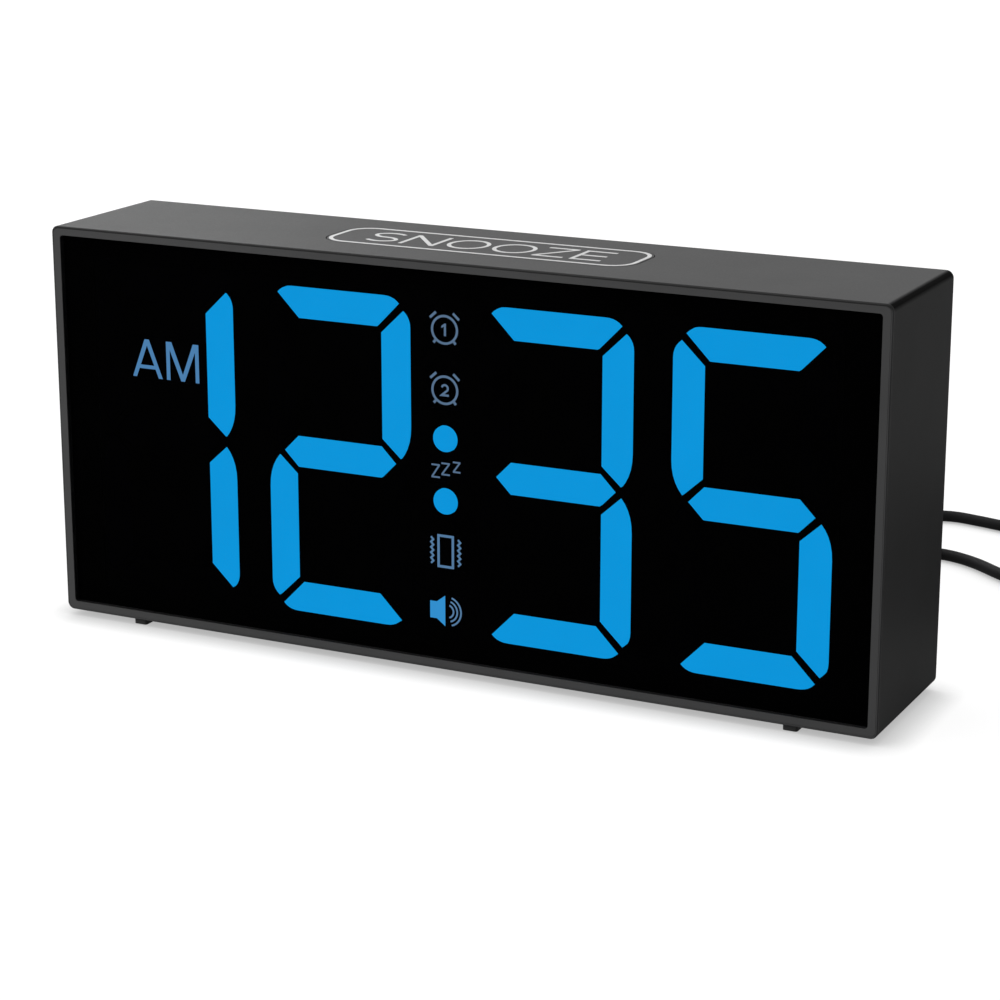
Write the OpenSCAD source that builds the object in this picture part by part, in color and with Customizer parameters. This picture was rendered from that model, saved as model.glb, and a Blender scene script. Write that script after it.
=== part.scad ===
// Alarm clock with a large lit display, a snooze bar on top and a bed shaker on a plug-in lead.
// Millimetres. Z is up, the front faces -Y, and X runs to the right as the front is seen.
// The origin is on the resting plane, under the middle of the case.

/* [Case] */
// Width of the case
case_w = 205; // [204:0.5:206]
// Height of the case without its feet
case_h = 93.5; // [93:0.5:95]
// Depth of the case
case_d = 40; // [40:0.5:41]
// Radius of the long edges
corner_r = 1.7; // [1.5:0.1:2.2]
// Thickness of the case walls
wall = 2.2; // [2:0.1:2.2]
// Height of the feet below the case
foot_h = 1.5; // [1.2:0.1:2]

/* [Display] */
// Width of the smoked lens
lens_w = 200.4; // [199:0.2:200.4]
// Height of the smoked lens
lens_h = 89.2; // [88:0.2:89.2]
// Thickness of the lens
lens_t = 1.2; // [1:0.1:1.2]
// Distance between the two digits of a pair
digit_pitch = 45.7; // [44:0.1:46]
// Distance of the inner digits from the middle
inner_digit_x = 26.9; // [26:0.1:27]
// Height of a digit
digit_h = 76.6; // [72:0.2:76.6]
// Diameter of a colon dot
dot_d = 6; // [4:0.5:6]

/* [Controls] */
// Length of the snooze bar
key_w = 76.8; // [70:0.2:76.8]
// Depth of the snooze bar
key_d = 19.4; // [18:0.2:19.4]
// Travel of every push button
press = 0.8; // [0.4:0.1:0.8]
// Diameter of a rear button
button_d = 8; // [7:0.5:9]
// Distance between rear buttons
button_pitch = 18; // [16:0.5:18]

/* [Leads] */
// Diameter of both leads
cord_d = 3; // [2.6:0.1:3]
// Space left between the turns of a coil
turn_gap = 0.5; // [0.45:0.05:0.6]
// Turns in the coil of the power lead
power_turns = 10; // [10:1:10]
// Turns in the coil of the shaker lead
shaker_turns = 16; // [16:1:16]
// Diameter of a coil halfway through its turns
coil_d = 31.2; // [30:0.2:32]

/* [Shaker] */
// Diameter of the shaker
puck_d = 60; // [58:1:62]
// Height of the shaker
puck_h = 22.5; // [22.5:0.5:24]

/* [Hidden] */
$fn = 48;
eps = 0.01;

// Main planes of the case
zc = foot_h + case_h / 2;
top_z = foot_h + case_h;
front_y = -case_d / 2;
back_y = case_d / 2;
bead = 0.5;
slit = 0.05;
sleeve_y = front_y + bead;
lens_back_y = front_y + 1.4;
frame_back_y = front_y + 2.6;
rebate_y = frame_back_y + slit;
rim_w = case_w - 2 * (bead + slit);
rim_h = case_h - 2 * (bead + slit);
inner_w = case_w - 2 * wall;
inner_h = case_h - 2 * wall;
inner_top_z = top_z - wall;
cover_y = back_y - 1.6;
cover_t = 2.4;
cover_in_y = cover_y - cover_t;
foot_w = 3.4;
foot_l = 9;
foot_r = 0.6;
foot_y = case_d / 2 - 5.6;
foot_at = [for (x = [-82.5, 82.5], y = [-foot_y, foot_y]) [x, y]];

// Stack of the display behind the lens
module_w = 184;
module_h = 80;
window_w = 185.6;
window_h = 81;
module_y = lens_back_y + 0.2;
board_t = 1.6;
display_board_y = module_y + 8;
diffuser_t = 1.5;
display_x = -0.4;
display_z = zc - 0.5;
digit_x = [for (x = [-inner_digit_x - digit_pitch, -inner_digit_x, inner_digit_x, inner_digit_x + digit_pitch]) display_x + x];
seg_scale = digit_h / 76;
dot_z = [7.2, -7.2];
window_at = [[0, 31.9], [0, 18.3], [0, 0], [0, -18.85], [0, -32.85], [-inner_digit_x - digit_pitch, 17.65]];
window_size = [[9, 9], [9, 9], [9, 6], [9, 9], [9, 8], [20, 10.5]];
// Segments a to g of each digit: 1 is lit, for a reading of 12:35
lit = [[0, 1, 1, 0, 0, 0, 0], [1, 1, 0, 1, 1, 0, 1], [1, 1, 1, 1, 0, 0, 1], [1, 0, 1, 1, 0, 1, 1]];

// Fastenings
post_x = 96;
post_z = 40;
post_d = 6;
ear_x = 95.5;
ear_z = 20;
pilot_d = 1.8;
shank_d = 1.7;

// Snooze bar
key_x = 0.45;
key_y = 1.15;
key_r = 6.2;
key_gap = 0.25;
key_flange = 2;
flange_t = 1.2;
key_boss_x = 46;
key_switch_x = 26;
snooze_board_z = top_z - 10.4;
snooze_plunger_z = snooze_board_z + board_t + 3.2;
plunger_gap = press + 0.1;

// Rear control board and what it carries
control_y = cover_in_y - 15.6;
control_x = [-45, 72];
control_z = [12, 81];
control_back_y = control_y + board_t;
key_plunger_y = control_back_y + 5;
button_row_z = 72;
button_x0 = -32;
standoff_at = [[-41, 77], [68, 77], [-41, 16], [68, 16]];
mode_x = 8;
mode_throw = 2.5;
dimmer_x = 36;
dimmer_throw = 3;
slider_z = 52;
jack_z = 22;
power_jack_x = 34;
shaker_jack_x = 56;
speaker_x = -66;
speaker_z = 46;
cell_x = -14;
cell_z = 34;
door_turn = 60;

// Plugs at the back of the case
plug_y = cover_y + 0.4;
plug_l = 32;
plug_end_y = plug_y + plug_l;

// Leads: each route is a list of points from its plug to its coil
cord_r = cord_d / 2;
coil_pitch = cord_d + turn_gap;
coil_z = cord_r + 0.8;
coil_layers = 4;
loop_rings = 24;
floor_z = cord_r + 0.1;
lift_z = floor_z + 0.3;
power_coil_at = [120, 130];
power_coil_end = 30;
shaker_coil_at = [134, 76];
shaker_coil_end = 90;
power_coil_turns = power_turns + power_coil_end / 360;
shaker_coil_turns = shaker_turns + shaker_coil_end / 360;
power_reach = coil_d / 2 + power_coil_turns / coil_layers * coil_pitch / 2;
shaker_reach = coil_d / 2 + shaker_coil_turns / coil_layers * coil_pitch / 2;
power_route = [
    [power_jack_x, plug_end_y, jack_z], [34, 58, 21.6], [34.2, 66, 19.6], [34.8, 76, 15], [35.8, 86, 9.6],
    [37.2, 96, 5], [39.2, 106, 2.4], [42, 117.4, floor_z], [45.5, 128.8, floor_z], [50.5, 139.6, floor_z],
    [57, 147.8, floor_z], [65, 151.3, floor_z], [73, 150.2, floor_z], [81, 148.3, floor_z], [90, 147.6, floor_z],
    [99, 148.4, floor_z], [108, power_coil_at.y + power_reach - 0.2, lift_z],
    [power_coil_at.x - cord_d, power_coil_at.y + power_reach, coil_z]
];
shaker_route = [
    [shaker_jack_x, plug_end_y, jack_z], [56, 58, 21.6], [56.1, 65, 19.4], [56.6, 74, 14.6], [57.6, 83, 9],
    [59, 92, 5], [61, 100.6, 2.6], [63.4, 107.6, floor_z], [66.8, 113.5, floor_z], [71.6, 116.2, floor_z],
    [77.2, 115.5, floor_z], [84, 112.1, floor_z], [92, 106, floor_z], [100, 101, floor_z],
    [109, 98.6, floor_z], [120, shaker_coil_at.y + shaker_reach, lift_z],
    [shaker_coil_at.x - cord_d, shaker_coil_at.y + shaker_reach, coil_z]
];

// Far ends of the leads
usb_at = [149.5, 136, 3.85];
usb_turn = -30;
puck_x = shaker_coil_at.x + shaker_reach;
puck_y = 24;
puck_mid_z = 11.5;
puck_r = puck_d / 2;
puck_wall = 2;
puck_pad = 1;
split = 0.1;
relief_l = 10;
motor_r = 8;
weight_r = 8;
puck_boss_r = 23;
puck_boss_angles = [30, 150, 270];
clamp_x = -10;
clamp_y = 12;

// Points on an arc
function arc_points(c, r, a0, a1, n) = [for (i = [0:n]) let (a = a0 + (a1 - a0) * i / n) c + r * [cos(a), sin(a)]];

// Outline of a rectangle with round corners
function round_rect(w, h, r, n = 8) = concat(
    arc_points([w / 2 - r, h / 2 - r], r, 0, 90, n), arc_points([r - w / 2, h / 2 - r], r, 90, 180, n),
    arc_points([r - w / 2, r - h / 2], r, 180, 270, n), arc_points([w / 2 - r, r - h / 2], r, 270, 360, n));

// Points on a curve from a to c that leaves and arrives in line with b
function bend(a, b, c, n = 5) = [for (i = [0:n]) let (t = i / n) (1 - t) * (1 - t) * a + 2 * t * (1 - t) * b + t * t * c];

// Extrusion along Y of an outline drawn in X and Z
module along_y(y0, y1) {
    translate([0, y1, 0]) rotate([90, 0, 0]) linear_extrude(y1 - y0) children();
}

// Upright plate with round corners, centred on the case
module slab(w, h, r, y0, y1) {
    along_y(y0, y1) translate([0, zc]) polygon(round_rect(w, h, r));
}

// Round bar along Y
module rod(x, z, d, y0, y1) {
    translate([x, y0, z]) rotate([-90, 0, 0]) cylinder(d = d, h = y1 - y0);
}

// Block given by its lowest and highest corners
module block(lo, hi) {
    translate(lo) cube(hi - lo);
}

// Copies at the four corners of a rectangle
module corners(x, z) {
    for (sx = [-1, 1], sz = [-1, 1]) translate([sx * x, 0, zc + sz * z]) children();
}

// Case

module front_frame() color([0.09, 0.09, 0.09]) {
    lip_w = inner_w - 0.6;
    lip_h = inner_h - 0.6;
    lip_t = 2.4;
    lip_depth = 2.6;
    difference() {
        union() {
            slab(rim_w, rim_h, corner_r - bead, front_y, frame_back_y);
            difference() {
                slab(lip_w, lip_h, 1, frame_back_y - eps, frame_back_y + lip_depth);
                slab(lip_w - 2 * lip_t, lip_h - 2 * lip_t, 1, frame_back_y - 1, frame_back_y + lip_depth + 1);
            }
            corners(post_x, post_z) rod(0, 0, post_d, frame_back_y - eps, -10);
            corners(ear_x, ear_z) rod(0, 0, 5, frame_back_y - eps, display_board_y);
        }
        slab(lens_w + 0.1, lens_h + 0.1, 0.8, front_y - 1, lens_back_y);
        slab(window_w, window_h, 1, front_y, frame_back_y + 1);
        corners(post_x, post_z) rod(0, 0, 2.4, frame_back_y, -9);
        corners(ear_x, ear_z) rod(0, 0, pilot_d, frame_back_y + 1, display_board_y + 1);
    }
}

// Dark bead round the front edge, between the sleeve and the frame
module edge_bead() color([0.03, 0.03, 0.03]) {
    chamfer = 0.25;
    difference() {
        hull() {
            slab(case_w, case_h, corner_r, front_y + chamfer, sleeve_y);
            slab(case_w - 2 * chamfer, case_h - 2 * chamfer, corner_r - chamfer, front_y, sleeve_y);
        }
        slab(rim_w + 2 * slit, rim_h + 2 * slit, corner_r - bead, front_y - 1, back_y);
    }
}

// Four walls of the case
module case_sleeve() color([0.11, 0.11, 0.11]) {
    socket_depth = 0.6;
    difference() {
        union() {
            difference() {
                slab(case_w, case_h, corner_r, sleeve_y, back_y);
                slab(inner_w, inner_h, 0.8, rebate_y, back_y + 1);
                slab(rim_w + 2 * slit, rim_h + 2 * slit, corner_r - bead, front_y, rebate_y + eps);
            }
            for (s = [-1, 1]) translate([key_x + s * key_boss_x, key_y, snooze_board_z + board_t])
                cylinder(d = 5.5, h = inner_top_z - snooze_board_z - board_t + 1);
        }
        translate([key_x, key_y, inner_top_z - 1]) linear_extrude(wall + 2)
            polygon(round_rect(key_w + 2 * key_gap, key_d + 2 * key_gap, key_r + key_gap));
        for (s = [-1, 1]) translate([key_x + s * key_boss_x, key_y, snooze_board_z])
            cylinder(d = pilot_d, h = 7);
        for (p = foot_at) translate([p.x, p.y, foot_h - eps]) linear_extrude(socket_depth + eps)
            polygon(round_rect(foot_w + 0.1, foot_l + 0.1, foot_r));
    }
}

// Rubber feet pressed into shallow sockets
module feet() color([0.05, 0.05, 0.05]) {
    for (p = foot_at) translate([p.x, p.y, 0]) linear_extrude(foot_h + 0.55)
        polygon(round_rect(foot_w, foot_l, foot_r));
}

// Back panel with its posts, speaker slots, control openings and cell cup
module rear_cover() color([0.1, 0.1, 0.1]) {
    grille_r = 15;
    slot_w = 1.8;
    difference() {
        union() {
            slab(inner_w - 0.4, inner_h - 0.4, 1, cover_in_y, cover_y);
            corners(post_x, post_z) rod(0, 0, post_d, -10, cover_in_y + eps);
            for (p = standoff_at) rod(p.x, p.y, 5.5, control_back_y, cover_in_y + eps);
            rod(cell_x, cell_z, 29, cover_in_y - 6.9, cover_in_y + eps);
            difference() {
                rod(speaker_x, speaker_z, 42, cover_in_y - 3, cover_in_y + eps);
                rod(speaker_x, speaker_z, 38.4, cover_in_y - 4, cover_in_y + 1);
            }
        }
        corners(post_x, post_z) {
            rod(0, 0, 3.2, -11, cover_y + 1);
            rod(0, 0, 6.4, cover_y - 1.6, cover_y + 1);
        }
        for (p = standoff_at) rod(p.x, p.y, pilot_d, control_y, cover_in_y - 3);
        for (i = [-4:4]) {
            half = sqrt(grille_r * grille_r - pow(i * 3.4, 2));
            along_y(cover_in_y - 1, cover_y + 1) translate([speaker_x + i * 3.4, speaker_z])
                polygon(round_rect(slot_w, 2 * half, slot_w / 2 - eps, 4));
        }
        for (i = [0:4]) rod(button_x0 + i * button_pitch, button_row_z, button_d + 0.5, cover_in_y - 1, cover_y + 1);
        slider_slot(mode_x, -mode_throw, mode_throw);
        slider_slot(dimmer_x, 0, dimmer_throw);
        rod(power_jack_x, jack_z, 7.5, cover_in_y - 1, cover_y + 1);
        rod(shaker_jack_x, jack_z, 6, cover_in_y - 1, cover_y + 1);
        rod(cell_x, cell_z, 22, cover_in_y - 5.7, cover_y + 1);
        rod(cell_x, cell_z, 24, cover_in_y - 2.2, cover_y + 1);
        rod(cell_x, cell_z, 27, cover_in_y - 2.2, cover_in_y - 0.4);
        for (a = [0, 180]) door_lug(a - door_turn, 13.4, 44, cover_in_y - 1, cover_y + 1);
    }
}

module slider_slot(x, lo, hi) {
    block([x + lo - 1.8, cover_in_y - 1, slider_z - 1.6], [x + hi + 1.8, cover_y + 1, slider_z + 1.6]);
}

// Part ring of the cell door's bayonet
module door_lug(a, r, span, y0, y1) {
    translate([cell_x, y1, cell_z]) rotate([90, 0, 0]) rotate([0, 0, a - span / 2])
        rotate_extrude(angle = span) translate([11, 0]) square([r - 11, y1 - y0]);
}

// Long screws from the back panel into the front frame
module case_screws() color([0.6, 0.6, 0.62]) {
    corners(post_x, post_z) difference() {
        union() {
            rod(0, 0, 5.6, cover_y - 1.6, cover_y - 0.1);
            rod(0, 0, 2.3, -16, cover_y - 1.5);
        }
        for (a = [0, 90]) translate([0, cover_y, 0]) rotate([0, a, 0]) cube([3.2, 1.8, 0.7], center = true);
    }
}

// Display

module display_lens() color([0.02, 0.02, 0.02, 0.8]) {
    slab(lens_w, lens_h, 0.8, lens_back_y - lens_t, lens_back_y);
}

// Outline of one segment: a to g, drawn about the middle of the digit
function seg_a() = concat([[-10, 30.8], [10, 30.8]], bend([15.5, 36.4], [14.2, 38], [11.6, 38]),
    bend([-11.6, 38], [-14.2, 38], [-15.5, 36.4]));
function seg_b() = concat(bend([15.6, 1], [18.25, 4], [18.25, 8.8]), bend([18.25, 31.2], [18.25, 33.6], [16.4, 35]),
    [[10.95, 29.75], [10.95, 5.2]]);
function seg_g() = [[-14.4, 0], [-10.8, -3.65], [10.8, -3.65], [14.4, 0], [10.8, 3.65], [-10.8, 3.65]];
function flip(p, sx, sy) = [for (q = p) [q.x * sx, q.y * sy]];
function segment(i) = i == 0 ? seg_a() : i == 1 ? seg_b() : i == 2 ? flip(seg_b(), 1, -1) : i == 3 ? flip(seg_a(), 1, -1)
    : i == 4 ? flip(seg_b(), -1, -1) : i == 5 ? flip(seg_b(), -1, 1) : seg_g();
segment_middle = [[0, 34.4], [14.6, 18], [14.6, -18], [0, -34.4], [-14.6, -18], [-14.6, 18], [0, 0]];

// One segment of one digit, grown or shrunk about its own middle
module segment_bar(d, i, grow, y0, y1) {
    along_y(y0, y1) translate([digit_x[d], display_z]) scale(seg_scale) translate(segment_middle[i]) scale(grow)
        translate(-segment_middle[i]) polygon(segment(i));
}

// Black housing with one light well behind each segment, dot and icon
module led_reflector() color([0.04, 0.04, 0.04]) {
    difference() {
        slab(module_w, module_h, 1.5, module_y, display_board_y);
        for (d = [0:3], i = [0:6]) segment_bar(d, i, 1, module_y - 1, display_board_y + 1);
        for (z = dot_z) rod(display_x, display_z + z, dot_d + 0.2, module_y - 1, display_board_y + 1);
        for (k = [0:5]) indicator(k, 0.1, module_y - 1, display_board_y + 1);
    }
}

module segments(state) {
    for (d = [0:3], i = [0:6]) if (lit[d][i] == state) segment_bar(d, i, 0.985, module_y, module_y + diffuser_t);
}

module lit_segments() color([0.0, 0.59, 0.91]) {
    segments(1);
}

module dark_segments() color([0.03, 0.03, 0.04]) {
    segments(0);
}

module colon_dots() color([0.0, 0.59, 0.91]) {
    for (z = dot_z) rod(display_x, display_z + z, dot_d, module_y, module_y + diffuser_t);
}

module indicator(k, grow, y0, y1) {
    half = window_size[k] / 2 + [grow, grow];
    at = window_at[k] + [display_x, display_z];
    block([at.x - half.x, y0, at.y - half.y], [at.x + half.x, y1, at.y + half.y]);
}

// Light windows of the icons and of the half-day sign
module indicator_windows() color([0.05, 0.06, 0.07]) {
    for (k = [0:5]) indicator(k, 0, module_y, module_y + diffuser_t);
}

module display_board() color([0.05, 0.25, 0.12]) {
    difference() {
        union() {
            slab(module_w, module_h, 1.5, display_board_y, display_board_y + board_t);
            slab(2 * ear_x + 5, 2 * ear_z + 7, 1.5, display_board_y, display_board_y + board_t);
        }
        corners(ear_x, ear_z) rod(0, 0, 2.2, display_board_y - 1, display_board_y + 3);
    }
}

// One light chip in every well
module led_chips() color([0.9, 0.9, 0.8]) {
    for (d = [0:3], i = [0:6])
        chip(digit_x[d] + segment_middle[i].x * seg_scale, display_z + segment_middle[i].y * seg_scale);
    for (z = dot_z) chip(display_x, display_z + z);
    for (p = window_at) chip(display_x + p.x, display_z + p.y);
}

module chip(x, z) {
    block([x - 1.5, display_board_y - 0.8, z - 0.8], [x + 1.5, display_board_y, z + 0.8]);
}

// Display driver, clock chip, crystal and smoothing capacitors on the back of the display board
module board_chips() color([0.08, 0.08, 0.09]) {
    y = display_board_y + board_t;
    block([-14, y, zc - 6], [14, y + 2.6, zc + 6]);
    block([24, y, zc - 4], [36, y + 1.8, zc + 4]);
    block([42, y, zc - 1.5], [50, y + 3, zc + 1.5]);
    for (x = [-60, -50]) rod(x, zc - 22, 6.3, y, y + 6);
}

// Flat cable between the two boards
module ribbon_cable() color([0.75, 0.75, 0.72]) {
    y0 = display_board_y + board_t;
    y1 = control_y;
    ribbon_z = 66;
    sag = 2;
    t = 0.8;
    socket = 3;
    path = bend([y0 + socket, ribbon_z], [(y0 + y1) / 2, ribbon_z - sag], [y1 - socket, ribbon_z], 8);
    block([-10, y0, ribbon_z - 2.4], [10, y0 + socket, ribbon_z + 2.4]);
    block([-10, y1 - socket, ribbon_z - 2.4], [10, y1, ribbon_z + 2.4]);
    translate([-8.5, 0, 0]) rotate([90, 0, 90]) linear_extrude(17)
        polygon(concat([for (p = path) p + [0, t / 2]], [for (i = [8:-1:0]) path[i] - [0, t / 2]]));
}

// Small screws of the three boards
module board_screws() color([0.6, 0.6, 0.62]) {
    y = display_board_y + board_t;
    corners(ear_x, ear_z) {
        rod(0, 0, 3.6, y, y + 1.3);
        rod(0, 0, shank_d, y - 6, y + eps);
    }
    for (p = standoff_at) {
        rod(p.x, p.y, 3.6, control_y - 1.3, control_y);
        rod(p.x, p.y, shank_d, control_y - eps, control_y + 7);
    }
    for (s = [-1, 1]) translate([key_x + s * key_boss_x, key_y, snooze_board_z - 1.3]) {
        cylinder(d = 3.6, h = 1.3);
        cylinder(d = shank_d, h = 7);
    }
}

// Snooze bar

module snooze_key() color([0.11, 0.11, 0.11]) {
    flange_z = inner_top_z - 0.4 - flange_t;
    translate([key_x, key_y, 0]) {
        translate([0, 0, flange_z]) linear_extrude(top_z - flange_z) polygon(round_rect(key_w, key_d, key_r));
        translate([0, 0, flange_z]) linear_extrude(flange_t)
            polygon(round_rect(key_w + 2 * key_flange, key_d + 2 * key_flange, key_r + key_flange));
        for (s = [-1, 1]) translate([s * key_switch_x, 0, snooze_plunger_z + plunger_gap])
            cylinder(d = 4, h = flange_z - snooze_plunger_z - plunger_gap + eps);
    }
}

module snooze_board() color([0.05, 0.25, 0.12]) {
    difference() {
        translate([key_x - 52, key_y - 5.5, snooze_board_z]) cube([104, 11, board_t]);
        for (s = [-1, 1]) translate([key_x + s * key_boss_x, key_y, snooze_board_z - 1]) cylinder(d = 2.2, h = 4);
    }
}

module snooze_switches() color([0.15, 0.15, 0.15]) {
    for (s = [-1, 1]) translate([key_x + s * key_switch_x, key_y, snooze_board_z + board_t]) {
        translate([-3, -3, 0]) cube([6, 6, 2.4]);
        cylinder(d = 3.4, h = 3.2);
    }
}

// Rear controls

module control_board() color([0.05, 0.25, 0.12]) {
    difference() {
        block([control_x[0], control_y, control_z[0]], [control_x[1], control_back_y, control_z[1]]);
        for (p = standoff_at) rod(p.x, p.y, 2.2, control_y - 1, control_back_y + 1);
    }
}

module key_switches() color([0.15, 0.15, 0.15]) {
    for (i = [0:4]) {
        x = button_x0 + i * button_pitch;
        block([x - 3, control_back_y, button_row_z - 3], [x + 3, control_back_y + 3.6, button_row_z + 3]);
        rod(x, button_row_z, 3.4, control_back_y, key_plunger_y);
    }
}

module slide_switches() color([0.55, 0.55, 0.57]) {
    for (x = [mode_x, dimmer_x + dimmer_throw / 2])
        block([x - 7, control_back_y, slider_z - 3], [x + 7, control_back_y + 5, slider_z + 3]);
}

// Rear push button with a dished cap, a retaining flange and a stem
module rear_button(i) {
    x = button_x0 + i * button_pitch;
    tip_y = back_y - 0.3;
    dish_r = 16;
    difference() {
        rod(x, button_row_z, button_d, cover_in_y - 1.6, tip_y);
        translate([x, tip_y + dish_r - 0.4, button_row_z]) sphere(r = dish_r);
    }
    rod(x, button_row_z, button_d + 2.5, cover_in_y - 1.6, cover_in_y - 0.4);
    rod(x, button_row_z, 4, key_plunger_y + plunger_gap, cover_in_y - 1.5);
}

module time_button() color([0.16, 0.16, 0.16]) {
    rear_button(0);
}

module alarm_one_button() color([0.16, 0.16, 0.16]) {
    rear_button(1);
}

module alarm_two_button() color([0.16, 0.16, 0.16]) {
    rear_button(2);
}

module up_button() color([0.16, 0.16, 0.16]) {
    rear_button(3);
}

module down_button() color([0.16, 0.16, 0.16]) {
    rear_button(4);
}

// Thumb slider with a flange inside the panel and a stem to its switch
module slider(x) {
    difference() {
        block([x - 1.5, control_back_y + 5.2, slider_z - 1.3], [x + 1.5, back_y - 0.3, slider_z + 1.3]);
        for (k = [-1, 0, 1]) block([x + k - 0.2, back_y - 0.6, slider_z - 2], [x + k + 0.2, back_y, slider_z + 2]);
    }
    block([x - 6.5, cover_in_y - 1.4, slider_z - 3], [x + 6.5, cover_in_y - 0.4, slider_z + 3]);
}

module mode_slider() color([0.16, 0.16, 0.16]) {
    slider(mode_x);
}

module dimmer_slider() color([0.16, 0.16, 0.16]) {
    slider(dimmer_x);
}

module power_jack() color([0.06, 0.06, 0.06]) {
    difference() {
        block([power_jack_x - 4.5, control_back_y, jack_z - 5.5], [power_jack_x + 4.5, cover_in_y, jack_z + 5.5]);
        rod(power_jack_x, jack_z, 6.2, cover_in_y - 9.4, cover_in_y + 1);
    }
    rod(power_jack_x, jack_z, 2, cover_in_y - 9.5, cover_in_y - 1.5);
}

module shaker_jack() color([0.06, 0.06, 0.06]) {
    difference() {
        block([shaker_jack_x - 4, control_back_y, jack_z - 4], [shaker_jack_x + 4, cover_in_y, jack_z + 4]);
        rod(shaker_jack_x, jack_z, 3.8, control_back_y + 0.8, cover_in_y + 1);
    }
}

// Sounder

// Turned piece on the speaker's axis, measured from the panel's inner face towards the front
module speaker_turned() {
    translate([speaker_x, cover_in_y, speaker_z]) rotate([90, 0, 0]) rotate_extrude() children();
}

module speaker_frame() color([0.3, 0.3, 0.32]) {
    speaker_turned() polygon([[16.2, 0], [19, 0], [19, 1.5], [17.6, 1.5], [11.6, 8.4], [4, 8.4], [4, 7.4], [11, 7.4],
        [16.2, 1.4]]);
}

module speaker_magnet() color([0.2, 0.2, 0.2]) {
    speaker_turned() translate([0, 8.4]) square([10, 4.6]);
}

module speaker_cone() color([0.08, 0.08, 0.08]) {
    speaker_turned() polygon([[0, 5], [5, 5.6], [15.9, 0.6], [15.9, 1.2], [5, 6.2], [0, 5.6]]);
}

// Back-up cell

module battery_door() color([0.1, 0.1, 0.1]) {
    difference() {
        union() {
            rod(cell_x, cell_z, 23.6, cover_in_y - 1.8, cover_y - 0.1);
            for (a = [0, 180]) door_lug(a, 13.2, 40, cover_in_y - 1.8, cover_in_y - 0.7);
        }
        block([cell_x - 7, cover_y - 1.3, cell_z - 0.9], [cell_x + 7, cover_y + 1, cell_z + 0.9]);
    }
}

module coin_cell() color([0.75, 0.75, 0.76]) {
    rod(cell_x, cell_z, 20, cover_in_y - 5.4, cover_in_y - 2.2);
}

module cell_contact() color([0.8, 0.7, 0.4]) {
    rod(cell_x, cell_z, 12, cover_in_y - 5.7, cover_in_y - 5.4);
}

// Leads

function unit(v) = v / norm(v);
function tangent(p, i) = unit(p[min(i + 1, len(p) - 1)] - p[max(i - 1, 0)]);

// Ring of points square to a route at its point i
function ring(p, i, r, sides) = let (t = tangent(p, i), s = unit(cross(t, [0, 0, 1])), u = cross(s, t))
    [for (k = [0:sides - 1]) let (a = 360 * (k + 0.5) / sides) p[i] + r * cos(a) * s + r * sin(a) * u];

// Tube along a route, with flat ends
module tube(p, r, sides) {
    n = len(p);
    points = [for (i = [0:n - 1]) each ring(p, i, r, sides)];
    faces = concat(
        [for (i = [0:n - 2], k = [0:sides - 1], half = [0, 1]) let (a = i * sides + k, b = i * sides + (k + 1) % sides)
            half == 0 ? [a, b, b + sides] : [a, b + sides, a + sides]],
        [for (k = [1:sides - 2]) [0, k + 1, k]],
        [for (k = [1:sides - 2]) let (e = (n - 1) * sides) [e, e + k, e + k + 1]]);
    polyhedron(points, faces);
}

// Smooth curve through a list of points
function smooth(p, i, t) = let (n = len(p) - 1, a = i == 0 ? 2 * p[0] - p[1] : p[i - 1], b = p[i], c = p[i + 1],
    d = i + 2 > n ? 2 * p[n] - p[n - 1] : p[i + 2])
    0.5 * (2 * b + (c - a) * t + (2 * a - 5 * b + 4 * c - d) * t * t + (3 * b - a - 3 * c + d) * t * t * t);
function route(p, steps) = concat([for (i = [0:len(p) - 2], k = [0:steps - 1]) smooth(p, i, k / steps)], [p[len(p) - 1]]);

// How far in a coil has spiralled after q layers, from 0 outside to 1 inside
function coil_wave(q) = let (m = q % 2) m < 1 ? m : 2 - m;

// Layer that a coil has reached, with a climb over the half turn where the spiral reverses
function coil_level(turn, layer_turns) = let (k = round(turn / layer_turns), d = turn - k * layer_turns)
    k < 1 || k >= coil_layers ? min(max(floor(turn / layer_turns), 0), coil_layers - 1)
    : k - 0.5 + max(-0.5, min(0.5, 2 * d));

// Centre line of a coil: clockwise from its far side, in and out again layer by layer
function coil_line(at, turns, reach, tail) = let (layer_turns = turns / coil_layers, n = round(turns * loop_rings),
    loops = [for (i = [0:n]) let (turn = turns * i / n, r = reach - coil_pitch * layer_turns * coil_wave(turn / layer_turns),
        a = 90 - 360 * turn) [at.x + r * cos(a), at.y + r * sin(a), coil_z + coil_pitch * coil_level(turn, layer_turns)]])
    concat([loops[0] - [cord_d, 0, 0]], loops, tail);

// Least space between two stretches of a coil that are at least a third of a turn apart
function least_gap(p) = min([for (i = [0:len(p) - 1], j = [i + 8:1:len(p) - 1]) norm(p[i] - p[j])]) - cord_d;

power_exit = 90 - power_coil_end;
power_coil_out = [power_coil_at.x + power_reach * cos(power_exit), power_coil_at.y + power_reach * sin(power_exit),
    coil_z + (coil_layers - 1) * coil_pitch];
power_tail = [for (t = [0.12, 0.25, 0.4, 0.55, 0.7, 0.85, 1]) let (q = max(0, t - 0.2) / 0.8, s = q * q * (3 - 2 * q))
    [power_coil_out.x + (usb_at.x - power_coil_out.x) * t, power_coil_out.y + (usb_at.y - power_coil_out.y) * t,
    power_coil_out.z + (usb_at.z - power_coil_out.z) * s]];
shaker_coil_out = [puck_x, shaker_coil_at.y, coil_z + (coil_layers - 1) * coil_pitch];
relief_end = [puck_x, puck_y + puck_d / 2 + relief_l, puck_mid_z];
shaker_tail = [for (t = [0.25, 0.5, 0.75, 1]) shaker_coil_out + (relief_end - shaker_coil_out) * t];

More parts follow.
